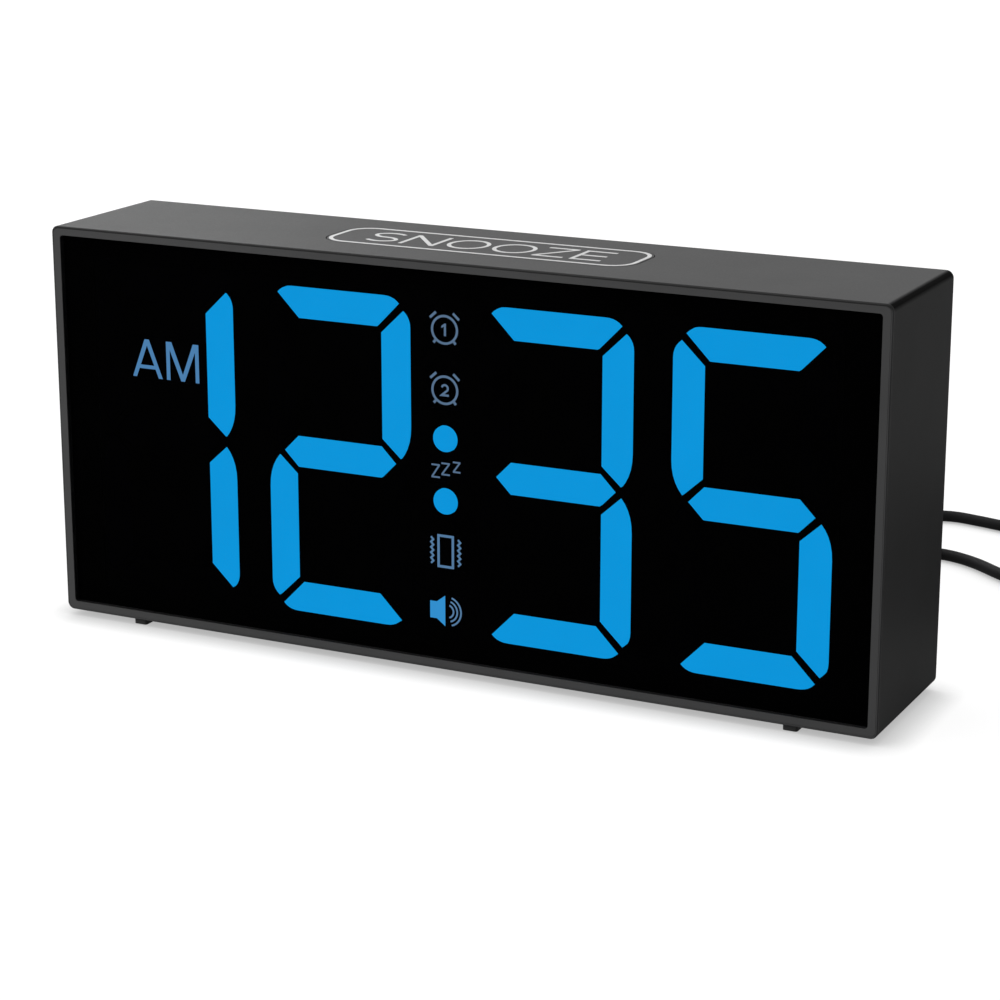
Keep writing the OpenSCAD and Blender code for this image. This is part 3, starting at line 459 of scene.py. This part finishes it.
def coil_points(centre, turns, reach):
    """Clockwise from the coil's far side, in and out again layer by layer."""
    layer_turns = turns / COIL_LAYERS
    count = round(turns * LOOP_POINTS)
    points = []
    for i in range(count + 1):
        turn = turns * i / count
        phase = turn / layer_turns % 2
        inward = phase if phase < 1 else 2 - phase
        radius = reach - COIL_PITCH * layer_turns * inward
        angle = math.radians(90 - 360 * turn)
        height = COIL_Z + COIL_PITCH * coil_level(turn, layer_turns)
        points.append((centre.x + radius * math.cos(angle), centre.y + radius * math.sin(angle), height))
    return points


def power_tail(start):
    """Level off the top of the coil, then down to the plug at the lead's end."""
    points = []
    for t in POWER_TAIL:
        drop = max(0, t - POWER_TAIL_LEVEL) / (1 - POWER_TAIL_LEVEL)
        ease = drop * drop * (3 - 2 * drop)
        flat = start.lerp(USB_AT, t)
        points.append((flat.x, flat.y, start.z + (USB_AT.z - start.z) * ease))
    return points


def shaker_tail(start):
    """Straight from the top of the coil to the shaker's strain relief."""
    return [tuple(start.lerp(RELIEF_END, t)) for t in SHAKER_TAIL]


def lead(name, points):
    """Round lead through the points on one smooth curve; each handle is a third of the way on."""
    data = bpy.data.curves.new(name, "CURVE")
    data.dimensions = "3D"
    data.bevel_depth = CORD_D / 2 * MM
    data.bevel_resolution = CORD_ROUND
    data.resolution_u = CURVE_STEPS
    data.use_fill_caps = True
    spline = data.splines.new("BEZIER")
    spline.bezier_points.add(len(points) - 1)
    line = [Vector(p) * MM for p in points]
    line = [2 * line[0] - line[1], *line, 2 * line[-1] - line[-2]]
    for i, knot in enumerate(spline.bezier_points, start=1):
        handle = (line[i + 1] - line[i - 1]) / 6
        knot.handle_left_type = "FREE"
        knot.handle_right_type = "FREE"
        knot.co = line[i]
        knot.handle_left = line[i] - handle
        knot.handle_right = line[i] + handle
    data.materials.append(LEAD)
    piece = add_to_scene(name, data)
    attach(piece, "root")
    return piece


power_coil = coil_points(POWER_COIL, POWER_TURNS, POWER_REACH)
power_line = POWER_ROUTE + power_coil + power_tail(Vector(power_coil[-1]))
shaker_coil = coil_points(SHAKER_COIL, SHAKER_TURNS, SHAKER_REACH)
shaker_line = SHAKER_ROUTE + shaker_coil + shaker_tail(Vector(shaker_coil[-1]))
power_lead = lead("power_lead", power_line)
shaker_lead = lead("shaker_lead", shaker_line)
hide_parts("power_cord", "power_cord_coil")
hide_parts("shaker_cord", "shaker_cord_coil")


# Mesh pieces

TUBE_SIDES = ((0, 1), (1, 3), (3, 2), (2, 0))


def mesh_piece(name, mesh, material, body):
    bmesh.ops.recalc_face_normals(mesh, faces=mesh.faces)
    data = bpy.data.meshes.new(name)
    mesh.to_mesh(data)
    mesh.free()
    data.materials.append(material)
    piece = add_to_scene(name, data)
    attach(piece, body)
    return piece


def join_tube(mesh, rings, closed):
    """Four-sided tube along four lines of points, with flat ends where it isn't closed."""
    count = len(rings[0])
    for i in range(count if closed else count - 1):
        j = (i + 1) % count
        for a, b in TUBE_SIDES:
            mesh.faces.new((rings[a][i], rings[a][j], rings[b][j], rings[b][i]))
    if not closed:
        for i in (0, count - 1):
            mesh.faces.new((rings[0][i], rings[1][i], rings[3][i], rings[2][i]))


def join_prism(mesh, rings):
    """Closed prism between two outlines."""
    count = len(rings[0])
    for ring in rings:
        mesh.faces.new(ring)
    for i in range(count):
        j = (i + 1) % count
        mesh.faces.new((rings[0][i], rings[0][j], rings[1][j], rings[1][i]))


def loop_points(low, high, radius, steps):
    """Rectangle with round corners, from its lowest corner to its highest."""
    centres = [
        (high[0] - radius, high[1] - radius, 0), (low[0] + radius, high[1] - radius, 90),
        (low[0] + radius, low[1] + radius, 180), (high[0] - radius, low[1] + radius, 270),
    ]
    points = []
    for x, y, start in centres:
        for i in range(steps + 1):
            angle = math.radians(start + 90 * i / steps)
            points.append((x + radius * math.cos(angle), y + radius * math.sin(angle)))
    return points


# Straps round the coils, in millimetres

STRAP_W = 6
STRAP_T = 0.5
STRAP_ROOM = 0.15
STRAP_POINTS = 48
STRAP_CUTS = (-0.5, 0, 0.5)
LAP_SHARE = 0.96
LAP_ROUND = STRAP_T / 2 - 0.01
POWER_STRAP_TURN = math.radians(270)
SHAKER_STRAP_TURN = math.radians(200)


def passes(line, centre, out, across, side):
    """Where a coil goes through an upright plane beside its axis: distance out and height."""
    found = []
    for a, b in zip(line, line[1:]):
        first = Vector(a[:2]) - centre
        second = Vector(b[:2]) - centre
        before = first.dot(across) - side
        after = second.dot(across) - side
        if before * after < 0 and first.dot(out) > 0:
            t = before / (before - after)
            found.append((first.lerp(second, t).dot(out), a[2] + (b[2] - a[2]) * t))
    return found


def band_outline(bundle, distance):
    """Loop drawn tight round a bundle of strands, that distance from their middles."""
    points = []
    for i in range(STRAP_POINTS):
        angle = 2 * math.pi * i / STRAP_POINTS
        way = (math.cos(angle), math.sin(angle))
        outmost = max(bundle, key=lambda p: p[0] * way[0] + p[1] * way[1])
        points.append((outmost[0] + way[0] * distance, outmost[1] + way[1] * distance))
    return points


def lap_outline(bundle, hug):
    """Free end of the strap, flat on top of the band."""
    top = max(z for _, z in bundle)
    reach = [x for x, z in bundle if z > top - CORD_D / 2]
    lap_z = top + hug + STRAP_T
    return loop_points((min(reach), lap_z), (max(reach), lap_z + STRAP_T), LAP_ROUND, steps=3)


def strap(name, line, centre, angle, node):
    """Webbing band drawn tight round the bundle of a coil, with its free end lapped over the top."""
    out = Vector((math.cos(angle), math.sin(angle)))
    across = Vector((-out.y, out.x))
    bundle = [p for cut in STRAP_CUTS for p in passes(line, centre, out, across, cut * STRAP_W)]
    hug = CORD_D / 2 + STRAP_ROOM
    mesh = bmesh.new()

    def ring(outline, side):
        verts = []
        for distance, height in outline:
            flat = centre + out * distance + across * side * STRAP_W / 2
            verts.append(mesh.verts.new(Vector((*flat, height)) * MM))
        return verts

    edges = (band_outline(bundle, hug), band_outline(bundle, hug + STRAP_T))
    join_tube(mesh, [ring(edge, side) for edge in edges for side in (-1, 1)], closed=True)
    lap = lap_outline(bundle, hug)
    join_prism(mesh, [ring(lap, side * LAP_SHARE) for side in (-1, 1)])
    piece = mesh_piece(name, mesh, WEBBING, "root")
    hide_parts(node)
    return piece


power_strap = strap("power_strap", power_coil, POWER_COIL, POWER_STRAP_TURN, "power_cord_tie")
shaker_strap = strap("shaker_strap", shaker_coil, SHAKER_COIL, SHAKER_STRAP_TURN, "shaker_cord_tie")


# Signs, drawn flat in millimetres as strokes and filled outlines

MITRE_LIMIT = 0.3
# Share of a sign's thickness that is sunk in its surface
SUNK = 0.25


def arc(centre, radius, start, end, steps):
    """Points on an arc; radius is one number or the two half axes of an ellipse."""
    wide, tall = radius if isinstance(radius, tuple) else (radius, radius)
    points = []
    for i in range(steps + 1):
        angle = math.radians(start + (end - start) * i / steps)
        points.append((centre[0] + wide * math.cos(angle), centre[1] + tall * math.sin(angle)))
    return points


def stroke(points, width, closed=False):
    return {"points": points, "width": width, "closed": closed}


def fill(points):
    return {"points": points}


def circle(radius, width, steps=36):
    """Closed ring; radius is one number or the two half axes of an ellipse."""
    return stroke(arc((0, 0), radius, 0, 360 - 360 / steps, steps - 1), width, closed=True)


def moved(shapes, at, scale=1):
    result = []
    for shape in shapes:
        points = [(at[0] + x * scale, at[1] + y * scale) for x, y in shape["points"]]
        result.append({**shape, "points": points})
        if "width" in shape:
            result[-1]["width"] = shape["width"] * scale
    return result


def edges_of(shape):
    """Left and right edges of a stroke, with its corners mitred."""
    points = [Vector(p) for p in shape["points"]]
    count = len(points)
    left = []
    right = []
    for i, point in enumerate(points):
        before = points[i - 1] if shape["closed"] or i > 0 else None
        after = points[(i + 1) % count] if shape["closed"] or i + 1 < count else None
        into = (point - before).normalized() if before else (after - point).normalized()
        out = (after - point).normalized() if after else into
        normal = Vector((-into.y - out.y, into.x + out.x)).normalized()
        reach = shape["width"] / 2 / max(MITRE_LIMIT, normal.dot(Vector((-into.y, into.x))))
        left.append(point + normal * reach)
        right.append(point - normal * reach)
    return left, right


def sign(name, shapes, place, thickness, material, body):
    """One thin piece from flat shapes; place takes a flat point and a height to the part's frame."""
    mesh = bmesh.new()

    def rings(lines):
        levels = [(line, depth) for line in lines for depth in (0, thickness)]
        return [[mesh.verts.new(place(*p, depth)) for p in line] for line, depth in levels]

    for shape in shapes:
        if "width" in shape:
            join_tube(mesh, rings(edges_of(shape)), shape["closed"])
        else:
            join_prism(mesh, rings([shape["points"]]))
    return mesh_piece(name, mesh, material, body)


# Letters, each drawn about the middle of its box: width, height and line width

def letter_s(w, h, s):
    wide = (w - s) / 2
    tall = (h - s) / 4
    upper = arc((0, tall), (wide, tall), start=35, end=270, steps=20)
    lower = arc((0, -tall), (wide, tall), start=90, end=-145, steps=20)
    return [stroke(upper + lower[1:], s)]


def letter_n(w, h, s):
    x = w / 2
    y = h / 2
    slant = 1.75 * s
    return [fill([(-x, -y), (s - x, -y), (s - x, y - slant), (x - s, -y), (x, -y),
                  (x, y), (x - s, y), (x - s, slant - y), (s - x, y), (-x, y)])]


def letter_o(w, h, s):
    return [circle(((w - s) / 2, (h - s) / 2), s)]


def letter_z(w, h, s):
    x = w / 2
    y = h / 2
    slant = 1.25 * s
    return [fill([(-x, -y), (x, -y), (x, s - y), (slant - x, s - y), (x, y - s),
                  (x, y), (-x, y), (-x, y - s), (x - slant, y - s), (-x, s - y)])]


def letter_e(w, h, s):
    x = w / 2
    y = h / 2
    bar = s / 2
    bar_end = x - s / 2
    return [fill([(-x, -y), (x, -y), (x, s - y), (s - x, s - y), (s - x, -bar), (bar_end, -bar),
                  (bar_end, bar), (s - x, bar), (s - x, y - s), (x, y - s), (x, y), (-x, y)])]


def letter_a(w, h, s):
    x = w / 2
    y = h / 2
    foot = 1.1 * s
    top = 0.62 * s
    peak = y - 1.5 * s
    bar_low = -0.27 * h
    bar_high = bar_low + 0.9 * s

    def inner(height):
        return (x - foot) * (peak - height) / (peak + y)

    legs = fill([(-x, -y), (-top, y), (top, y), (x, -y), (x - foot, -y), (0, peak), (foot - x, -y)])
    bar = fill([(-inner(bar_low), bar_low), (inner(bar_low), bar_low),
                (inner(bar_high), bar_high), (-inner(bar_high), bar_high)])
    return [legs, bar]


def letter_m(w, h, s):
    x = w / 2
    y = h / 2
    shoulder = 1.55 * s
    dip = 1.6 * s - y
    point = 0.5 * s
    armpit = y - 1.9 * s
    return [fill([(-x, -y), (-x, y), (shoulder - x, y), (0, dip), (x - shoulder, y), (x, y),
                  (x, -y), (x - s, -y), (x - s, armpit), (point, -y), (-point, -y),
                  (s - x, armpit), (s - x, -y)])]


# Icons, each drawn about its own middle

def digit_one(h):
    """Upright stem with a slanted flag at its top left."""
    left = -0.05 * h
    right = left + 0.18 * h
    tip = -0.27 * h
    return [fill([(left, -h / 2), (right, -h / 2), (right, h / 2), (0, h / 2),
                  (tip, 0.3 * h), (tip, 0.12 * h), (left, 0.24 * h)])]


def digit_two(h):
    s = 0.17 * h
    x = 0.27 * h
    base = s / 2 - h / 2
    bowl = arc((0, -base - x), x, start=165, end=-35, steps=12)
    return [stroke([*bowl, (-x, base), (x + s / 2, base)], s)]


def radial(angle, near, far):
    a = math.radians(angle)
    return [(r * math.cos(a), r * math.sin(a)) for r in (near, far)]


def tick(angle, radius, length):
    """Short line square to a spoke."""
    a = math.radians(angle)
    middle = Vector((math.cos(a), math.sin(a))) * radius
    along = Vector((-math.sin(a), math.cos(a))) * length / 2
    return [tuple(middle - along), tuple(middle + along)]


def alarm_icon(number):
    """Alarm clock with two bells and two feet, round a number."""
    face = circle(radius=3.08, width=0.54)
    bells = [stroke(tick(angle, radius=4.25, length=2.0), width=0.58) for angle in (48, 132)]
    feet = [stroke(radial(angle, near=3.2, far=4.1), width=0.6) for angle in (-48, -132)]
    return [face, *bells, *feet, *number]


def sleep_icon():
    """Three rising letters; each row has a middle, a width and a height."""
    rows = (((-2.4, -0.37), 2.1, 3.2), ((0.1, 0.28), 2.1, 2.95), ((2.85, 0.99), 1.85, 2.6))
    return [shape for at, w, h in rows for shape in moved(letter_z(w, h, s=0.38), at)]


def shake_icon():
    """Upright frame with a jagged line on each side."""
    x = 1.8
    y = 3.58
    wave_x = 3.4
    wave_low = -3.1
    tooth = 0.3
    tooth_step = 0.62
    teeth = 11
    shapes = [stroke([(-x, -y), (x, -y), (x, y), (-x, y)], width=0.58, closed=True)]
    for side in (-1, 1):
        wave = []
        for i in range(teeth):
            sway = tooth if i % 2 else -tooth
            wave.append((side * wave_x + sway, wave_low + tooth_step * i))
        shapes.append(stroke(wave, width=0.46))
    return shapes


def speaker_body():
    back = -4.0
    neck = -2.3
    mouth = -0.2
    box_y = 2.0
    horn_y = 3.6
    return [fill([(back, -box_y), (neck, -box_y), (mouth, -horn_y),
                  (mouth, horn_y), (neck, box_y), (back, box_y)])]


def sound_waves():
    middle = (0.4, 0)
    waves = [arc(middle, radius, start=-72, end=72, steps=16) for radius in (1.5, 2.45, 3.4)]
    return [stroke(wave, width=0.4) for wave in waves]


# Snooze bar: white outline and word

PRINT_T = 0.04
KEY_MARK_AT = (0.45, 1.15)
KEY_MARK_SIZE = (74.9, 17.6)
KEY_MARK_R = 5.3
KEY_LINE = 0.95
LETTER_H = 10.5
LETTER_LINE = 0.95
# Each letter with its left and right ends
KEY_WORD = (
    (letter_s, -29.7, -21.7), (letter_n, -20.0, -11.2), (letter_o, -9.6, 0.3),
    (letter_o, 1.7, 11.8), (letter_z, 13.2, 20.6), (letter_e, 22.3, 29.7),
)
key_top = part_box("snooze_key")[1].z


def on_key(x, y, height):
    raised = (height - SUNK * PRINT_T) * MM
    return Vector(((KEY_MARK_AT[0] + x) * MM, (KEY_MARK_AT[1] + y) * MM, key_top + raised))


def snooze_signs():
    x = KEY_MARK_SIZE[0] / 2
    y = KEY_MARK_SIZE[1] / 2
    shapes = [stroke(loop_points((-x, -y), (x, y), KEY_MARK_R, steps=8), KEY_LINE, closed=True)]
    for letter, left, right in KEY_WORD:
        shapes += moved(letter(right - left, LETTER_H, LETTER_LINE), ((left + right) / 2, 0))
    return shapes


sign("snooze_print", snooze_signs(), on_key, PRINT_T, PAINT, "snooze")


# Lit icons on the display's windows, placed from the middle of the colon

ICON_T = 0.06
ALARM_ONE_AT = (0, 31.9)
ALARM_TWO_AT = (0, 18.3)
ALARM_DIGIT_H = 2.8
SHAKE_AT = (0, -18.85)
SPEAKER_AT = (0, -32.85)
HALF_DAY_AT = (-72.6, 17.65)
HALF_DAY_H = 9.05
HALF_DAY_LINE = 0.95
window_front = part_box("indicator_windows")[0].y
dots_low, dots_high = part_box("colon_dots")
display_middle = (dots_low + dots_high) / 2


def on_display(x, z, height):
    raised = (height - SUNK * ICON_T) * MM
    return Vector((display_middle.x + x * MM, window_front - raised, display_middle.z + z * MM))


def half_day_sign():
    first = moved(letter_a(w=8.15, h=HALF_DAY_H, s=HALF_DAY_LINE), at=(-5.2, 0))
    second = moved(letter_m(w=8.8, h=HALF_DAY_H, s=HALF_DAY_LINE), at=(4.45, 0))
    return moved(first + second, HALF_DAY_AT)


def alarm_signs():
    first = moved(alarm_icon(digit_one(ALARM_DIGIT_H)), ALARM_ONE_AT)
    second = moved(alarm_icon(digit_two(ALARM_DIGIT_H)), ALARM_TWO_AT)
    return first + second + sleep_icon()


def shake_signs():
    return moved(shake_icon(), SHAKE_AT) + moved(sound_waves(), SPEAKER_AT)


LIT_SIGNS = {
    "lit_half_day_sign": (half_day_sign(), LIT_PALE),
    "lit_alarm_icons": (alarm_signs(), LIT_GREY),
    "lit_shake_icons": (shake_signs(), LIT_DIM),
    "lit_speaker_icon": (moved(speaker_body(), SPEAKER_AT), LIT_SOFT),
}
for sign_name, (sign_shapes, sign_material) in LIT_SIGNS.items():
    sign(sign_name, sign_shapes, on_display, ICON_T, sign_material, "root")


# Black border printed on the back of the lens

MASK_T = 0.02
MASK_INSET = 0.02
MASK_OPENING = (184.4, 79.8)
lens_low, lens_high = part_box("display_lens")
lens_middle = (lens_low + lens_high) / 2


def on_lens_back(x, z, height):
    return Vector((lens_middle.x + x * MM, lens_high.y - height * MM, lens_middle.z + z * MM))


def mask_shapes():
    inner_x = MASK_OPENING[0] / 2
    inner_z = MASK_OPENING[1] / 2
    outer_x = (lens_high.x - lens_low.x) / 2 / MM - MASK_INSET
    outer_z = (lens_high.z - lens_low.z) / 2 / MM - MASK_INSET
    shapes = []
    for side in (-1, 1):
        shapes.append(fill([(side * inner_x, -outer_z), (side * outer_x, -outer_z),
                            (side * outer_x, outer_z), (side * inner_x, outer_z)]))
        shapes.append(fill([(-inner_x, side * inner_z), (inner_x, side * inner_z),
                            (inner_x, side * outer_z), (-inner_x, side * outer_z)]))
    return shapes


sign("lens_mask", mask_shapes(), on_lens_back, MASK_T, MASK, "root")


# Signs by the rear controls

REAR_SCALE = 0.62
REAR_DIGIT_H = 2.9
BUTTON_SIGN_UP = 9
SLIDER_SIGN_UP = 5.5
DOOR_SIGN_UP = 17
MODE_SIGN_ENDS = 10.3
MODE_SIGN_PAIR = 2.9
DIMMER_BRIGHT = -3
DIMMER_DIM = 5
cover_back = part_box("rear_cover")[1].y


def on_back(x, z, height):
    """Seen from behind, where +X runs to the left; x is the part's own X."""
    return Vector((x * MM, cover_back + (height - SUNK * PRINT_T) * MM, z * MM))


def facing_back(shapes):
    """Mirrors shapes so that they read the right way round from behind."""
    result = []
    for shape in shapes:
        result.append({**shape, "points": [(-x, y) for x, y in shape["points"]]})
    return result


def by_node(node, shapes, aside, up):
    """Shapes on the rear face, that far aside and up from the middle of a node."""
    low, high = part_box(node)
    x = (low.x + high.x) / 2 / MM
    z = (low.z + high.z) / 2 / MM
    return moved(facing_back(shapes), (x + aside, z + up), REAR_SCALE)


def clock_icon():
    hands = stroke([(0, 2.2), (0, 0), (1.6, -0.9)], width=0.65)
    return [circle(radius=3.3, width=0.7), hands]


def arrow_icon(up):
    """Triangle that points up for 1 and down for -1."""
    half_base = 2.6
    base = -2.0 * up
    tip = 2.4 * up
    return [fill([(-half_base, base), (half_base, base), (0, tip)])]


def lamp_icon(radius):
    """Ring with eight short rays."""
    near = radius + 0.7
    far = radius + 1.7
    rays = [stroke(radial(angle, near, far), width=0.5) for angle in range(0, 360, 45)]
    return [circle(radius, width=0.6, steps=24), *rays]


def direct_current_icon():
    """Long line over three short ones."""
    line_y = 0.6
    half_line = 3
    dash_y = -0.9
    half_dash = 0.75
    lines = [[(-half_line, line_y), (half_line, line_y)]]
    for x in (-2.25, 0, 2.25):
        lines.append([(x - half_dash, dash_y), (x + half_dash, dash_y)])
    return [stroke(line, width=0.6) for line in lines]


def plus_icon():
    arm = 2
    half = 0.4
    return [fill([(-arm, -half), (-half, -half), (-half, -arm), (half, -arm), (half, -half), (arm, -half),
                  (arm, half), (half, half), (half, arm), (-half, arm), (-half, half), (-arm, half)])]


def rear_signs():
    """Each row has a node, its sign, and how far the sign stands aside and up from the node."""
    speaker = speaker_body() + sound_waves()
    rows = [
        ("time_button", clock_icon(), 0, BUTTON_SIGN_UP),
        ("alarm_one_button", alarm_icon(digit_one(REAR_DIGIT_H)), 0, BUTTON_SIGN_UP),
        ("alarm_two_button", alarm_icon(digit_two(REAR_DIGIT_H)), 0, BUTTON_SIGN_UP),
        ("up_button", arrow_icon(up=1), 0, BUTTON_SIGN_UP),
        ("down_button", arrow_icon(up=-1), 0, BUTTON_SIGN_UP),
        ("mode_slider", speaker, MODE_SIGN_ENDS, SLIDER_SIGN_UP),
        ("mode_slider", shake_icon(), -MODE_SIGN_ENDS, SLIDER_SIGN_UP),
        ("mode_slider", speaker, MODE_SIGN_PAIR, SLIDER_SIGN_UP),
        ("mode_slider", shake_icon(), -MODE_SIGN_PAIR, SLIDER_SIGN_UP),
        ("dimmer_slider", lamp_icon(radius=1.9), DIMMER_BRIGHT, SLIDER_SIGN_UP),
        ("dimmer_slider", lamp_icon(radius=1.1), DIMMER_DIM, SLIDER_SIGN_UP),
        ("power_jack", direct_current_icon(), 0, BUTTON_SIGN_UP),
        ("shaker_jack", shake_icon(), 0, BUTTON_SIGN_UP),
        ("battery_door", plus_icon(), 0, DOOR_SIGN_UP),
    ]
    return [shape for row in rows for shape in by_node(*row)]


sign("rear_print", rear_signs(), on_back, PRINT_T, GREY_PAINT, "root")


# Softened edges on the moulded pieces, in millimetres

EDGE_RADII = {
    "rear_cover": 0.2, "front_frame": 0.12, "feet": 0.25, "battery_door": 0.25,
    "time_button": 0.25, "alarm_one_button": 0.25, "alarm_two_button": 0.25,
    "up_button": 0.25, "down_button": 0.25, "mode_slider": 0.12, "dimmer_slider": 0.12,
    "usb_plug_body": 0.5, "shaker_base": 0.25, "shaker_cover": 0.25,
}
WELD_REACH = 0.001
BEVEL_STEPS = 2
SHARP_EDGE = math.radians(40)


def soften(node, radius):
    weld = nodes[node].modifiers.new("weld", "WELD")
    weld.merge_threshold = WELD_REACH * MM
    bevel = nodes[node].modifiers.new("bevel", "BEVEL")
    bevel.width = radius * MM
    bevel.segments = BEVEL_STEPS
    bevel.limit_method = "ANGLE"
    bevel.angle_limit = SHARP_EDGE
    bevel.harden_normals = True


for softened, edge_radius in EDGE_RADII.items():
    soften(softened, edge_radius)


# Floor and world

FLOOR_HALF = 8
FLOOR_COLOUR = (0.12, 0.12, 0.12)
FLOOR_BOUNCE = (0.22, 0.22, 0.22)
CONTACT_LIFT = 0.44
FLOOR_LIFT = 0.95
FAR_LIFT = 0.985
FAR_FROM = 0.35
FAR_TO = 1.3
CONTACT_REACH = 8.5 * MM
CONTACT_POWER = 2
CONTACT_SAMPLES = 16
AMBIENT = 0.19
WHITE = (1, 1, 1, 1)


def seen_rays(tree):
    """1 on rays from the camera and on reflected or passed rays, 0 on rays that light the object."""
    path = tree.nodes.new("ShaderNodeLightPath").outputs
    reflected = math_node(tree, "MAXIMUM", path["Is Glossy Ray"], path["Is Transmission Ray"])
    return math_node(tree, "MAXIMUM", path["Is Camera Ray"], reflected)


def contact_shade(tree):
    """1 on open floor, less where the object stands close and hides part of the light."""
    open_share = tree.nodes.new("ShaderNodeAmbientOcclusion")
    open_share.samples = CONTACT_SAMPLES
    open_share.inputs["Distance"].default_value = CONTACT_REACH
    return math_node(tree, "POWER", open_share.outputs["AO"], CONTACT_POWER)


def floor_lift(tree):
    """Glow of the floor: least in the object's contact shade, most where the lamps no longer reach."""
    far_off = ramp(tree, length_node(tree, part_coords(tree)), FAR_FROM, FAR_TO)
    near = math_node(tree, "MULTIPLY", contact_shade(tree), FLOOR_LIFT - CONTACT_LIFT)
    far = math_node(tree, "MULTIPLY", far_off, FAR_LIFT - FLOOR_LIFT)
    return math_node(tree, "ADD", math_node(tree, "ADD", near, far), CONTACT_LIFT)


def floor_material():
    """Pale floor, white to the camera, that lights the object only by what it reflects."""
    material, tree, shader = new_material("pale_floor")
    seen = seen_rays(tree)
    tree.links.new(between(tree, seen, 0, 1, FLOOR_BOUNCE, FLOOR_COLOUR), shader.inputs["Base Color"])
    glow_strength = math_node(tree, "MULTIPLY", floor_lift(tree), seen)
    tree.links.new(glow_strength, shader.inputs["Emission Strength"])
    shader.inputs["Emission Color"].default_value = WHITE
    shader.inputs["Roughness"].default_value = 0.9
    shader.inputs["Specular IOR Level"].default_value = 0
    return material


def make_floor():
    mesh = bmesh.new()
    corners = ((-1, -1), (1, -1), (1, 1), (-1, 1))
    mesh.faces.new([mesh.verts.new((x * FLOOR_HALF, y * FLOOR_HALF, 0)) for x, y in corners])
    data = bpy.data.meshes.new("floor")
    mesh.to_mesh(data)
    mesh.free()
    data.materials.append(floor_material())
    add_to_scene("floor", data)


def make_world():
    """White to the camera, and a soft even light on the object."""
    world = bpy.data.worlds.new("studio")
    world.use_nodes = True
    tree = world.node_tree
    ambient = tree.nodes["Background"]
    ambient.inputs["Color"].default_value = WHITE
    ambient.inputs["Strength"].default_value = AMBIENT
    backdrop = tree.nodes.new("ShaderNodeBackground")
    backdrop.inputs["Strength"].default_value = 1
    mix = tree.nodes.new("ShaderNodeMixShader")
    tree.links.new(seen_rays(tree), mix.inputs["Fac"])
    tree.links.new(ambient.outputs["Background"], mix.inputs[1])
    tree.links.new(backdrop.outputs["Background"], mix.inputs[2])
    tree.links.new(mix.outputs["Shader"], tree.nodes["World Output"].inputs["Surface"])
    bpy.context.scene.world = world


make_floor()
make_world()


# Lamps: place in metres and power in watts

LAMP_SIZE = 1.0
LAMP_TARGET = Vector((0, 0, 0.05))
LAMPS = {
    "top_softbox": ((-0.38, 0.1, 1.08), 8.9),
    "front_softbox": ((-1.0, -1.2, 0.8), 20),
    "rear_softbox": ((-1.2, 1.1, 0.8), 12.5),
}


def softbox(name, at, power):
    data = bpy.data.lights.new(name, "AREA")
    data.shape = "SQUARE"
    data.size = LAMP_SIZE
    data.energy = power
    lamp = add_to_scene(name, data)
    lamp.location = at
    aim(lamp, LAMP_TARGET - Vector(at))


for lamp_name, (lamp_at, lamp_power) in LAMPS.items():
    softbox(lamp_name, lamp_at, lamp_power)
bpy.context.scene.view_settings.view_transform = "Standard"
